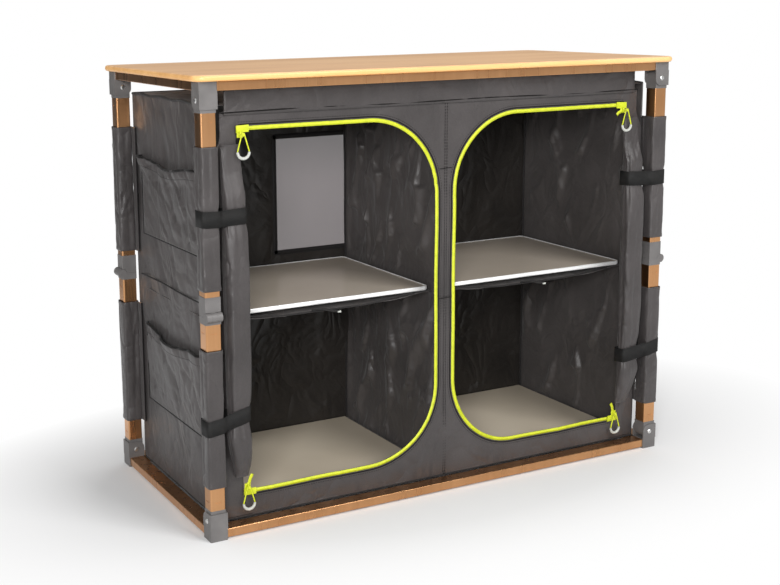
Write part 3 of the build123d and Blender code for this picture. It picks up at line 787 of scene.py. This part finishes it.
def shelves():
    """Boards with rounded corners, their edges in a bright rounded strip."""
    board, strip = shelf_material(), edge_material()
    half_board, into_strip = 2.9, 1.5
    section = [(-4, -2.6), (-4, -1.0), (-2.6, 0), (2.6, 0), (4, -1.0), (4, -2.6)]
    for side, name in SIDES:
        x0, x1 = sorted((side * SHELF_IN, side * SHELF_OUT))
        plan = rounded_plan(x0, x1, SHELF_FRONT, SHELF_BACK, SHELF_CORNER)
        n = len(plan)
        away = unit(plan - plan.mean(0))
        flat = plan - into_strip * np.sign(away) * (np.abs(away) > 0.02)
        levels = (SHELF_MID + half_board, SHELF_MID - half_board)
        verts = np.concatenate([np.column_stack([flat, np.full(n, z)]) for z in levels])
        faces = [tuple(range(n)), tuple(range(2 * n - 1, n - 1, -1))]
        faces += [(k, n + k, n + (k + 1) % n, (k + 1) % n) for k in range(n)]
        obj = piece(f"shelf_board_{name}", verts, faces, board, f"shelf_{name}", "shelf_board", False)
        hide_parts(f"shelf_{name}")
        ring = np.column_stack([plan, np.full(n, SHELF_MID)])
        along = unit(np.roll(ring, -1, 0) - np.roll(ring, 1, 0))
        edge = sweep(ring, UP, np.cross(along, UP), section, closed=True)
        trim = piece(f"shelf_edge_{name}", *edge, strip, f"shelf_{name}", "shelf_board")
        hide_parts(f"shelf_{name}")


def shelf_tabs():
    """Under each shelf's front: the sling's corded hem, and a webbing tab with a bright tip."""
    route = [(-30, -152.5, 372.0), (-8, -155.0, 371.5), (10, -156.0, 367.0), (22, -154.5, 364.0)]
    half_hem = 190
    parts, tips = [], []
    for x in (-232.0, 238.0):
        line = smooth_line([(x + a, y, z) for a, y, z in route], 30)
        across, out = line_frame(line, (0, -0.5, -1))
        parts.append(sweep(line, across, out, flat_section(5, -0.6, 0.6)))
        tips.append(rounded_box((7, 5, 4), (x + 25, -154.5, 363.0), 1.4))
        hem = np.linspace(x - half_hem, x + half_hem, 90)
        drop = -9.0 * slide_in(half_hem - np.abs(hem - x), 0, 120)
        parts.append(cord_along(points(hem, SHELF_FRONT, 377.0 + drop), 1.6))
    piece("sling_tabs", *join(parts), binding)
    piece("sling_tab_tips", *join(tips), grip, slot="pull_cord")


def top_band():
    """The strip of cloth sewn over the front's upper edge, up to the top rail."""
    half_wide, low, high, columns, rows = 447, 740, 797, 180, 12
    xs, zs = np.linspace(-half_wide, half_wide, columns), np.linspace(low, high, rows)
    x, z = np.meshgrid(xs, zs, indexing="ij")
    y = -CAB_Y - 2.0 + waves(x, z, 81, 0.5, (60, 200))
    y = y + creases(x, z, 82, 26, (-440, 440, low, high), (0.3, 0.9), (2, 5), (30, 90))
    verts = points(x, np.clip(y, -CAB_Y - 3.7, -CAB_Y - 0.4), z)
    obj = piece("top_band", verts, grid_faces(columns, rows), charcoal, thick=0.9)
    # The seam under the band: a near-black cord, partly its thread and partly the painted shadow line along
    # the band's lower edge
    seam_x = np.linspace(-CAB_X + 16, CAB_X - 16, 200)
    seam_y = -CAB_Y - 1.4 + 0.3 * np.sin(seam_x / 17)
    seam = points(seam_x, seam_y, 745 + 0.8 * np.sin(seam_x / 61))
    piece("top_seam_and_painted_shade", *cord_along(seam, 1.5), thread_and_shade)


# Zips
def stitches(path, out, long=3.0, gap=1.9, wide=0.45, high=0.35):
    """Short raised stitches one after another along a path."""
    path = np.asarray(path, float)
    seg = np.linalg.norm(np.diff(path, axis=0), axis=1)
    at = np.concatenate([[0], np.cumsum(seg)])
    starts = np.arange(0, at[-1] - long, long + gap)
    parts = []
    for s in starts:
        t = np.array([s, s + long * 0.25, s + long * 0.75, s + long])
        p = np.stack([np.interp(t, at, path[:, k]) for k in range(3)], -1)
        across, o = line_frame(p, out)
        p = p + o * (np.array([-0.15, high * 0.5, high * 0.5, -0.15])[:, None])
        parts.append(sweep(p, across, o, round_section(wide, 5, 0.7)))
    return join(parts)


def zip_teeth(side):
    """The tape round one opening, with its coil of teeth along the middle."""
    pts, nrm = door_ring(side, ZIP_W / 2, 0.75)
    y = -CAB_Y - 0.1 + front_y(pts[:, 0], pts[:, 1])
    path = points(pts[:, 0], y, pts[:, 1])
    across = points(nrm[:, 0], 0.0, nrm[:, 1])
    far = np.concatenate([[0], np.cumsum(np.linalg.norm(np.diff(path, axis=0), axis=1))])
    pitch = 2.4
    tooth = 0.5 + 0.5 * np.sin(2 * math.pi * far / pitch)
    left = [(-3.5, -0.2), (-3.5, 0.45), (-1.7, 0.6), (-1.1, 1.2)]
    base = np.array([*left, (0, 1.5), *[(-a, b) for a, b in reversed(left)]])
    section = np.tile(base, (len(y), 1, 1))
    section[:, 3:6, 1] += 0.45 * tooth[:, None]
    section[:, (3, 5), 0] *= (0.85 + 0.25 * tooth)[:, None]
    return sweep(path, across, FORWARD, section)


def beside_zip(side, grow):
    """A line that follows the zip at a distance, on the front cloth."""
    line, _ = door_ring(side, grow, 2.0)
    y = -CAB_Y - 0.05 + front_y(line[:, 0], line[:, 1])
    return points(line[:, 0], y, line[:, 1])


def tape_end(side, z, way):
    """Where the tape goes on past its slider."""
    steps = enumerate((402, 410, 418, 426))
    fold = np.array([(side * x, -194.9 - 0.25 * k, z - way * 0.3 * k) for k, x in steps])
    return sweep(smooth_line(fold, 14), UP, FORWARD, band_section(6.2, 1.0, -0.5, 0.4, 0.9))


def zips():
    tapes, threads = [], []
    for side, _ in SIDES:
        tapes.append(zip_teeth(side))
        tapes += [tape_end(side, z, way) for z, way in ((716.5, 1), (66.5, -1))]
        threads.append(cord_along(beside_zip(side, 10.2), 1.2, sides=6))
        threads.append(stitches(beside_zip(side, 14.5), FORWARD))
    obj = piece("door_zips", *join(tapes), lime, slot="zip_lime")
    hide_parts("zip_tracks")
    piece("zip_stitches", *join(threads), thread_and_shade)


def middle_stitches():
    """Two rows down the front's middle, where the middle wall is sewn on, and two short bars."""
    rows = [points(x, -CAB_Y - 0.9, np.linspace(26, 742, 300)) for x in (-2.2, 2.2)]
    seams = [stitches(row, FORWARD, 3.6, 2.0, 0.6, 0.5) for row in rows]
    for z in (619.0, 372.0):
        x = np.linspace(-13, 13, 30)
        seams.append(cord_along(points(x, -CAB_Y - 0.4, z + 0.5 * np.sin(x / 6)), 0.7))
    piece("middle_stitches", *join(seams), thread_and_shade)


def rounded_box(size, centre, round_by=1.2, steps=3):
    """A soft-edged box: a sphere-like grid pushed out to the box's faces."""
    n = 8 * steps
    a = np.arange(n) * 2 * math.pi / n
    b = np.linspace(-math.pi / 2, math.pi / 2, 4 * steps + 1)
    ca, cb = np.meshgrid(a, b, indexing="ij")
    d = points(np.cos(ca) * np.cos(cb), np.sin(ca) * np.cos(cb), np.sin(cb))
    half = np.array(size) / 2 - round_by
    signs = np.sign(np.round(d, 6))
    verts = np.array(centre) + signs * half + d * round_by
    return verts, grid_faces(n, len(b), loop_u=True)


def slider_mesh(side, level):
    """A slider with its stud, and where one shows, the tape's tail."""
    x, z, loop_y = side * STUD_X, STUD_Z[level], LOOP_Y[level]
    parts = [
        rounded_box((12, 2.0, 12), (x, SLIDER_Y + 1.0, z)),
        rounded_box((7, 1.9, 11), (x, SLIDER_Y + 3.6, z), 0.8),
        rounded_box((4.4, 4.6, 9.5), (x, SLIDER_Y - 1.4, z), 1.6),
    ]
    bar = np.array([(x, SLIDER_Y - 0.5, z), (x, loop_y + 2, z), (x, loop_y - 1.6, z)])
    parts.append(cord_along(smooth_line(bar, 8), CORD_R, out=(1, 0, 0)))
    parts.append(rounded_box((4.6, 1.4, 4.6), (x, loop_y - 1.9, z), 0.6))
    if level == "lower":
        tail = [(0, 2), (-side * 3, 8), (-side * 5, 15), (-side * 9, 23)]
    elif side > 0:
        tail = [(0, 0), (-5, -3), (-11, -5), (-16, -9)]
    else:
        return join(parts)
    line = [(x + a, SLIDER_Y + 0.6 - 0.5 * k, z + b) for k, (a, b) in enumerate(tail)]
    line = smooth_line(line, 16)
    across, out = line_frame(line, FORWARD)
    parts.append(sweep(line, across, out, flat_section(3, -0.4, 0.4)))
    return join(parts)


def pull_mesh(side, level):
    """A cord loop hung on the slider's stud, with a moulded grip round its lower end."""
    x, y, z = side * STUD_X, LOOP_Y[level], STUD_Z[level]
    top, low, drop = 2.7, 10.8, 29.4
    tilt = math.asin((low - top) / drop)
    over = np.linspace(tilt, math.pi - tilt, 12)
    under = np.linspace(math.pi - tilt, 2 * math.pi + tilt, 20)
    flat = [(top * math.cos(a), top * math.sin(a)) for a in over]
    flat = np.array(flat + [(low * math.cos(a), low * math.sin(a) - drop) for a in under])
    loop = points(x + flat[:, 0], y, z + flat[:, 1])
    loop = smooth_line(loop, 90, closed=True)
    along = unit(np.roll(loop, -1, 0) - np.roll(loop, 1, 0))
    cord = sweep(loop, np.cross(along, FORWARD), FORWARD, round_section(CORD_R), closed=True)
    a = np.linspace(math.pi * 0.98, 2.02 * math.pi, 30)
    hold = points(x + low * np.cos(a), y, z + low * np.sin(a) - drop)
    across, out = line_frame(hold, FORWARD)
    swell = 0.75 + 0.25 * np.sin(np.linspace(0, math.pi, 30)) ** 0.4
    rib = 1 - 0.05 * np.cos(np.linspace(0, 18 * math.pi, 30))
    section = round_section(2.8, 10)[None] * (swell * rib)[:, None, None]
    return cord, sweep(hold, across, out, section)


def zip_ends():
    for side, name in SIDES:
        body = f"zip_slider_{name}"
        obj = piece(f"zip_runner_{name}", *slider_mesh(side, "upper"), lime, body, "zip_lime")
        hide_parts(body)
    lower = join([slider_mesh(side, "lower") for side, _ in SIDES])
    lower = piece("lower_zip_runners", *lower, lime, slot="zip_lime")
    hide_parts("zip_tracks")
    for level in ("upper", "lower"):
        for side, name in SIDES:
            cord, hold = pull_mesh(side, level)
            body = f"zip_pull_{level}_{name}"
            for part, mesh, mat in (("loop", cord, lime), ("grip", hold, grip)):
                obj = piece(f"pull_{part}_{level}_{name}", *mesh, mat, body, "pull_cord")
                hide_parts(body)


# Rolled doors
ROLL_ROWS = np.array([
    # height, half width, front, back
    (100, 13.0, 204.0, 193.2), (118, 16.0, 213.0, 193.2), (140, 19.5, 221.0, 193.2),
    (176, 23.0, 226.5, 193.2), (196, 20.5, 220.5, 194.2), (212, 19.6, 218.6, 194.4),
    (228, 20.5, 220.5, 194.2), (248, 23.0, 226.0, 193.2), (310, 24.0, 229.5, 193.2),
    (400, 23.2, 228.0, 193.2), (480, 24.0, 229.5, 193.2), (534, 23.0, 226.5, 193.2),
    (554, 20.6, 220.5, 194.2), (570, 19.6, 218.6, 194.4), (586, 20.4, 220.0, 194.2),
    (606, 21.2, 221.0, 193.2), (640, 20.0, 206.0, 193.2), (662, 19.2, 203.4, 193.2),
    (690, 18.6, 202.0, 193.2),
])


def roll_end(ring, level, way, first, count):
    """Closes a roll's end with rings, each turn of cloth a little above or below the next."""
    around = len(ring)
    turn = np.arange(around) * 2 * math.pi / around
    nxt = np.roll(np.arange(around), -1)
    centre = ring.mean(0)
    last = first + np.arange(around)
    verts, faces = [], []
    for k, share in enumerate((0.86, 0.70, 0.55, 0.40, 0.25, 0.10)):
        wave = 1.6 * math.sin(k * 2.4) * np.cos(turn + k)
        inner = centre + (ring - centre) * share
        inner[:, 2] = level + (-way * (0.6 + 2.2 * (k % 2)) + wave) * 0.8 - way * 1.2
        verts.append(inner)
        here = count + k * around + np.arange(around)
        quad = np.stack([last, last[nxt], here[nxt], here], -1)
        faces.append(quad if way > 0 else quad[:, ::-1])
        last = here
    faces.append(np.array([last if way > 0 else last[::-1]]))
    return verts, faces


def door_roll(side, name):
    """A rolled door: a rounded tube of cloth, pinched by its two straps."""
    rows, around = 190, 72
    z = np.linspace(ROLL_LOW, ROLL_HIGH, rows)
    kernel = np.hanning(9)
    kernel /= kernel.sum()
    outline = [np.interp(z, ROLL_ROWS[:, 0], ROLL_ROWS[:, k]) for k in (1, 2, 3)]
    half, front, back = (np.convolve(np.pad(a, 4, "edge"), kernel, "valid") for a in outline)
    th = np.arange(around) * 2 * math.pi / around
    zz, tt = np.meshgrid(z, th, indexing="ij")
    c, s = np.cos(tt), np.sin(tt)
    p = 2.6
    r = (np.abs(c) ** p + np.abs(s) ** p) ** (-1 / p)
    seed = 90 + side
    # Folds run up the roll and gather at the straps
    pinched = sum(np.exp(-((zz - strap) / 46) ** 2) for strap in STRAPS)
    wander = 0.25 * np.sin(zz / 83 + seed) + 0.12 * np.sin(zz / 31 + 2 * seed)
    folds = 0.032 * np.sin(5 * (tt + wander)) + 0.022 * np.sin(9 * (tt - 0.6 * wander) + 1.3)
    folds = folds + 0.035 * pinched * np.sin(13 * tt + 2.0 * wander)
    area = (0, 138, ROLL_LOW, ROLL_HIGH)
    soft = creases(tt * 22, zz, seed, 70, area, (0.02, 0.06), (1.2, 3.0), (60, 200), 1.57, 0.25)
    # The free edge of the outer turn
    edge_at = 4.35 + 0.12 * np.sin(zz / 70) + (0.2 if side > 0 else 0)
    past = (tt - edge_at) * 22
    lip = -0.055 * (past > 0) * np.exp(-np.maximum(past, 0) / 16)
    r = r * (0.955 + folds * 0.8 + soft + lip)
    r = np.minimum(r, (np.abs(c) ** 6 + np.abs(s) ** 6) ** (-1 / 6))
    foot_in = 7.0 * (1 - slide_in(z, ROLL_LOW, 190))
    x = side * (ROLL_X - foot_in[:, None]) + half[:, None] * r * c
    mid, deep = (front + back) / 2, (front - back) / 2
    y = np.minimum(deep[:, None] * r * s - mid[:, None], -back[:, None])
    body = points(x, y, zz)
    verts = [body]
    faces = [grid_faces(rows, around, loop_v=True)]
    for row, way in ((0, -1), (rows - 1, 1)):
        count = sum(v.size // 3 for v in verts)
        more_verts, more_faces = roll_end(body[row], z[row], way, row * around, count)
        verts += more_verts
        faces += more_faces
    all_faces = [tuple(f) for group in faces for f in group]
    all_verts = np.concatenate([v.reshape(-1, 3) for v in verts])
    obj = piece(f"rolled_door_{name}", all_verts, all_faces, charcoal)
    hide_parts(f"door_roll_{name}")


def straps():
    """Closed bands round each roll and its leg, the lower two pulled askew."""
    round_both = [
        (417.2, -194.0), (417.0, -206.0), (419.5, -217.0), (428, -220.6), (440, -221.2), (455, -221.2),
        (466, -222.4), (473, -226.0), (480, -227.4), (490, -227.6), (501, -227.4), (504.9, -223),
        (505.3, -210), (504.9, -198), (500, -194.2), (480, -193.6), (450, -193.6), (430, -193.6),
    ]
    half_span, middle, askew = 44.0, 461.0, 8.0
    flat = smooth_line(round_both, 150, closed=True)
    loops = []
    for side, _ in SIDES:
        for z0 in STRAPS:
            lift = 0.8 * np.sin(np.linspace(0, 4 * math.pi, 150))
            if z0 == STRAPS[0]:
                lift = lift + side * askew * (flat[:, 0] - middle) / half_span
            path = points(side * flat[:, 0], flat[:, 1], z0 + lift)
            along = unit(np.roll(path, -1, 0) - np.roll(path, 1, 0))
            out = np.cross(along, UP) * -side
            loops.append(sweep(path, UP, out, band_section(14, 1.4, -0.4, 0.2, 0.55), closed=True))
    obj = piece("roll_straps", *join(loops), black, slot="strap_black")
    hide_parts("door_straps")


# Leg sleeves
def sleeve(corner, half_name):
    """A cloth tube on one half of a leg, pinched where a strap goes round it."""
    sx, sy = CORNERS[corner]
    low, high = SLEEVES[half_name]
    rows, around = 90, 64
    tightest, loosest, at_strap = 15.0, 17.0, 15.1
    z = np.linspace(low, high, rows)
    th = np.arange(around) * 2 * math.pi / around
    zz, tt = np.meshgrid(z, th, indexing="ij")
    seed = sum(ord(ch) for ch in corner + half_name)
    c, s = np.cos(tt), np.sin(tt)
    square = (np.abs(c) ** 7 + np.abs(s) ** 7) ** (-1 / 7)
    rng = np.random.default_rng(seed)
    folds = np.zeros_like(tt)
    for k in (3, 5, 8):
        size, phase, run = rng.uniform(0.3, 0.8), rng.uniform(0, 6), rng.uniform(40, 110)
        folds += size * np.sin(k * tt + phase + 0.9 * np.sin(zz / run))
    dents = creases(tt * 20, zz, seed, 34, (0, 126, low, high), (0.3, 1.3), (1.6, 4.0), (30, 150), 1.4, 0.5)
    out = 16.7 + 0.6 * folds + dents
    near_end = np.minimum(zz - low, high - zz)
    hem = 0.7 * np.exp(-((near_end - 3) / 4.0) ** 2)
    tight = slide_in(near_end, 0, 26)
    out = 16.4 + (out - 16.4) * (0.25 + 0.75 * tight) + hem
    strapped = sum(np.exp(-((zz - z0) / 20.0) ** 4) for z0 in STRAPS) if sy < 0 else 0.0
    out = np.clip(out, tightest, loosest)
    out = out + (at_strap - out) * np.clip(1.15 * strapped, 0, 1)
    x = sx * LEG_X + out * square * c
    y = sy * LEG_Y + out * square * s
    faces = [tuple(f) for f in grid_faces(rows, around, loop_v=True)[:, ::-1]]
    obj = piece(
        f"{corner}_{half_name}_cover", points(x, y, zz), faces, charcoal,
        f"{corner}_{half_name}_leg", thick=0.8, offset=-1.0,
    )
    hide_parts(f"{corner}_{half_name}_sleeve")


def wings():
    """Flat flaps between the leg sleeves and the side walls' upright edges."""
    for corner in ("lr", "rf"):
        sx, sy = CORNERS[corner]
        parts, lines = [], []
        for low, high in SLEEVES.values():
            t, z = np.meshgrid(np.linspace(0, 1, 14), np.linspace(low, high, 60), indexing="ij")
            fold = creases(20 * t, z, int(low) + 1, 9, (0, 20, low, high), (0.3, 0.9))
            hang = 1.4 * np.sin(z / 31 + 2 * t + sx) + fold
            x = sx * (CAB_X + 1.6 + np.abs(hang) * np.sin(math.pi * t) + 1.2 * (1 - t))
            y = sy * (CAB_Y + 3.0 - 20.0 * t)
            f = grid_faces(14, 60)
            parts.append((points(x, y, z), f if sx * sy > 0 else f[:, ::-1]))
            line = points(sx * (CAB_X + 2.6), sy * (CAB_Y - 17.0), np.linspace(low, high, 90))
            lines.append(cord_along(line, 1.1, (sx, 0, 0)))
        obj = piece(f"sleeve_wings_{corner}", *join(parts), charcoal, thick=0.8)
        piece(f"wing_binding_{corner}", *join(lines), thread_and_shade)


# Pockets on the left wall
def pockets():
    half = 150
    outwards = (-1, 0, 0)
    for number, (low, high, seed) in enumerate(((155.0, 310.0, 7), (488.0, 640.0, 8)), 1):
        u, t = np.meshgrid(np.linspace(-half, half, 91), np.linspace(0, 1, 46), indexing="ij")
        side_fall = slide_in(half - np.abs(u), 0, 20)
        sag = 9.0 * np.cos(u / half * math.pi / 2) ** 2 + 2.0 * np.sin(u / 37 + seed)
        v = low + (high - low) * t - sag * slide_in(t, 0.5, 1) * side_fall
        belly = 5.0 * np.sin(math.pi * np.clip(t, 0, 1)) ** 0.8 + 9.0 * slide_in(t, 0.25, 1.0)
        lean = 1.2 * np.sin(u / 23 + seed) + 0.8 * np.sin(u / 11)
        folds = creases(u, v, seed, 46, (-half, half, low, high), (0.4, 1.8), (2, 6), (50, 190), 1.1, 0.8)
        folds = folds + soften(crumple(u, v, seed + 3, 6.0, 40.0, 1.0), 1) - 2.0
        flare = (5.0 + 4.0 * np.sin(u / 29 + 2 * seed)) * slide_in(t, 0.78, 1.0)
        out = 0.8 * belly + lean * slide_in(t, 0.3, 1) + folds + flare
        out = np.clip(out * side_fall * slide_in(t, -0.02, 0.14), 0.6, 16.8)
        verts = points(-CAB_X - out, u, v)
        obj = piece(f"wall_pocket_{number}", verts, grid_faces(91, 46)[:, ::-1], charcoal, thick=0.9)
        if number == 1:
            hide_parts("side_pockets")
        proud, edge_proud = np.array([-0.6, 0, 0]), np.array([-0.3, 0, 0])
        # The thick near-black cord along each mouth is partly the piping and partly painted shadow in the
        # open mouth
        hem = [cord_along(verts[:, -1] + proud, 2.3, out=outwards), stitches(verts[:, -6] + proud, outwards)]
        for edge in (verts[0], verts[-1], verts[:, 0]):
            hem.append(cord_along(edge + edge_proud, 1.2, out=outwards))
        piece(f"pocket_binding_and_shade_{number}", *join(hem), thread_and_shade)


def wall_seam():
    """The seam across the left wall between its pockets."""
    y = np.linspace(-170, 170, 80)
    line = points(-CAB_X - 1.2, y, 405 + np.sin(y / 40))
    piece("wall_seam", *cord_along(line, 1.4, out=(-1, 0, 0)), thread_and_shade)


def bindings():
    """Bound seams along the cabinet's edges."""
    parts = []
    ends = np.linspace(0, 1, 120)[:, None]

    def run(a, b, out, wobble=0.4, radius=1.5):
        a, b = np.array(a, float), np.array(b, float)
        p = a + (b - a) * ends
        p = p + wobble * np.sin(ends * 23 + a[0]) * np.array(out)
        parts.append(cord_along(p, radius, out=out))

    for sx in (-1, 1):
        for sy, high in ((-1, 690), (1, 756)):
            x, y = sx * (CAB_X - 0.9), sy * (CAB_Y - 0.9)
            run((x, y, 20), (x, y, high), (sx, 0, 0), 0.2, 1.3)
        run((sx * CAB_X, -CAB_Y + 3, CAB_HIGH), (sx * CAB_X, CAB_Y - 3, CAB_HIGH), (0, 0, 1), 1.2, 2.6)
        run((sx * CAB_X, -CAB_Y + 3, 20), (sx * CAB_X, CAB_Y - 3, 20), (sx, 0, 0))
    for sy in (-1, 1):
        run((-CAB_X + 3, sy * CAB_Y, 20), (CAB_X - 3, sy * CAB_Y, 20), (0, sy, 0))
    run((-CAB_X + 3, CAB_Y, CAB_HIGH), (CAB_X - 3, CAB_Y, CAB_HIGH), (0, 0, 1))
    for x in (-CAB_X + 3.5, -3.0, 3.0, CAB_X - 3.5):
        run((x, CAB_Y - 3.2, 30), (x, CAB_Y - 3.2, 752), (0, -1, 0), 0.7, 2.0)
    piece("edge_bindings", *join(parts), binding)


def window():
    """The mesh, and a flat binding round it on both sides."""
    us, vs = np.linspace(*WINDOW[:2], 56), np.linspace(*WINDOW[2:], 40)
    u, v = np.meshgrid(us, vs, indexing="ij")
    h = waves(u, v, 99, 0.5, (100, 260)) * edge_mask(u, v, WINDOW, 25)
    mesh = points(u, CAB_Y - HALF_CLOTH + h, v)
    obj = piece("window_screen", mesh, grid_faces(56, 40), window_material(), slot="window_mesh")
    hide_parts("mesh_window")
    parts = []
    share = np.linspace(0, 1, 60)[:, None]
    for y, out in ((191.0, -1.0), (193.2, 1.0)):
        for a, b, across in (
            ((-171, 410), (171, 410), (0, 1)), ((-171, 654), (171, 654), (0, 1)),
            ((-169, 408), (-169, 656), (1, 0)), ((169, 408), (169, 656), (1, 0)),
        ):
            xz = np.array(a) + (np.array(b) - np.array(a)) * share
            path = points(xz[:, 0], y, xz[:, 1])
            wide = (across[0], 0.0, across[1])
            parts.append(sweep(path, wide, (0.0, out, 0.0), flat_section(5, -0.3, 0.4)))
    piece("window_binding", *join(parts), binding)


front_panel()
walls()
slings()
shelves()
shelf_tabs()
top_band()
zips()
middle_stitches()
zip_ends()
for door_side, door_name in SIDES:
    door_roll(door_side, door_name)
straps()
for leg in CORNERS:
    for leg_half in SLEEVES:
        sleeve(leg, leg_half)
wings()
pockets()
wall_seam()
bindings()
window()

# Each cloth piece on the base gets a mesh of its own
for soft in soft_pieces:
    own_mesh(soft)


# Finishes of the solids that stay
def dress(mat, *names):
    for name in names:
        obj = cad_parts[name]
        for slot in obj.material_slots:
            slot.material = mat


for level in ("bottom", "top"):
    dress(bronze, *[f"{level}_rail_{s}" for s in ("front", "rear", "left", "right")])
    dress(grey, *[f"{level}_bracket_{c}" for c in CORNERS])
    dress(steel, f"{level}_rivets")
for leg in CORNERS:
    dress(bronze, f"{leg}_lower_tube", f"{leg}_upper_tube")
    dress(fittings, f"{leg}_lower_fittings", f"{leg}_upper_fittings")
dress(board_material(), "table_top")
dress(floor_board_material(), "floor_boards")


# Floor, light and backdrop
def fixed_mesh(name, corners):
    """A four-cornered face that isn't part of the object."""
    data = bpy.data.meshes.new(name)
    data.from_pydata(corners, [], [(0, 1, 2, 3)])
    obj = bpy.data.objects.new(name, data)
    bpy.context.scene.collection.objects.link(obj)
    return obj


def pale_floor():
    """Keeps the object's shadow, and goes over to plain white further out."""
    half = 12.0
    floor = fixed_mesh("floor", [(-half, -half, 0), (half, -half, 0), (half, half, 0), (-half, half, 0)])
    n = Nodes("floor_pale")
    n.sets(Base_Color=(0.82, 0.82, 0.82), Roughness=0.8, Specular_IOR_Level=0.1)
    shadow_x, shadow_y = 0.62, 0.36
    far_x = n.math("POWER", n.math("DIVIDE", n.axis(0), shadow_x), 2.0)
    far_y = n.math("POWER", n.math("DIVIDE", n.axis(1), shadow_y), 2.0)
    away = n.math("SQRT", n.math("ADD", far_x, far_y))
    fade = n.remap(away, 1.0, 1.75, 0.0, 1.0)
    seen = n.node("ShaderNodeLightPath").outputs
    eye = n.math("MAXIMUM", seen["Is Camera Ray"], seen["Is Glossy Ray"])
    eye = n.math("MAXIMUM", eye, seen["Is Transmission Ray"])
    white = n.node("ShaderNodeEmission", {"Color": (1, 1, 1, 1), "Strength": 1.0}).outputs[0]
    share = n.math("MULTIPLY", fade, eye)
    mix = n.node("ShaderNodeMixShader", {0: share, 1: n.shader.outputs[0], 2: white})
    n.link(mix.outputs[0], n.tree.nodes["Material Output"].inputs["Surface"])
    floor.data.materials.append(n.mat)


def studio_world(light, seen):
    """White where it is seen, dimmer as a light."""
    world = bpy.data.worlds.new("studio")
    world.use_nodes = True
    bpy.context.scene.world = world
    t = world.node_tree
    back = t.nodes["Background"]
    path = t.nodes.new("ShaderNodeLightPath")
    most = t.nodes.new("ShaderNodeMath")
    most.operation = "MAXIMUM"
    t.links.new(path.outputs["Is Camera Ray"], most.inputs[0])
    t.links.new(path.outputs["Is Transmission Ray"], most.inputs[1])
    level = t.nodes.new("ShaderNodeMapRange")
    level.inputs[3].default_value = light
    level.inputs[4].default_value = seen
    t.links.new(most.outputs[0], level.inputs[0])
    back.inputs["Color"].default_value = (1, 1, 1, 1)
    t.links.new(level.outputs[0], back.inputs["Strength"])


def lamp(name, place, target, size, power):
    light = bpy.data.lights.new(name, "AREA")
    light.shape = "RECTANGLE"
    light.size = light.size_y = size
    light.energy = power
    obj = bpy.data.objects.new(name, light)
    obj.location = place
    obj.rotation_euler = (Vector(target) - Vector(place)).to_track_quat("-Z", "Y").to_euler()
    bpy.context.scene.collection.objects.link(obj)


def dark_card():
    """Only reflections see it, in the tubes' left faces."""
    near, far, high = (-0.85, 1.7), (-4.0, 0.9), 2.4
    card = fixed_mesh("dark_card", [(*far, 0), (*near, 0), (*near, high), (*far, high)])
    n = Nodes("dark_card")
    n.sets(Base_Color=(0.02, 0.018, 0.016), Roughness=0.9)
    card.data.materials.append(n.mat)
    for ray in ("camera", "shadow", "diffuse", "transmission"):
        setattr(card, f"visible_{ray}", False)


def stage():
    pale_floor()
    studio_world(0.27, 1.0)
    lamp("key", (0.9, -2.7, 2.7), (0, 0, 0.3), 1.5, 78)
    lamp("front_fill", (-2.1, -2.9, 1.4), (0.2, 0.1, 0.3), 0.8, 90)
    lamp("side_fill", (-3.0, 0.6, 1.7), (0, 0, 0.4), 1.6, 13)
    lamp("overhead", (0.3, 0.2, 3.2), (0, 0, 0.6), 2.2, 28)
    dark_card()
    bpy.context.scene.view_settings.view_transform = "Standard"


stage()
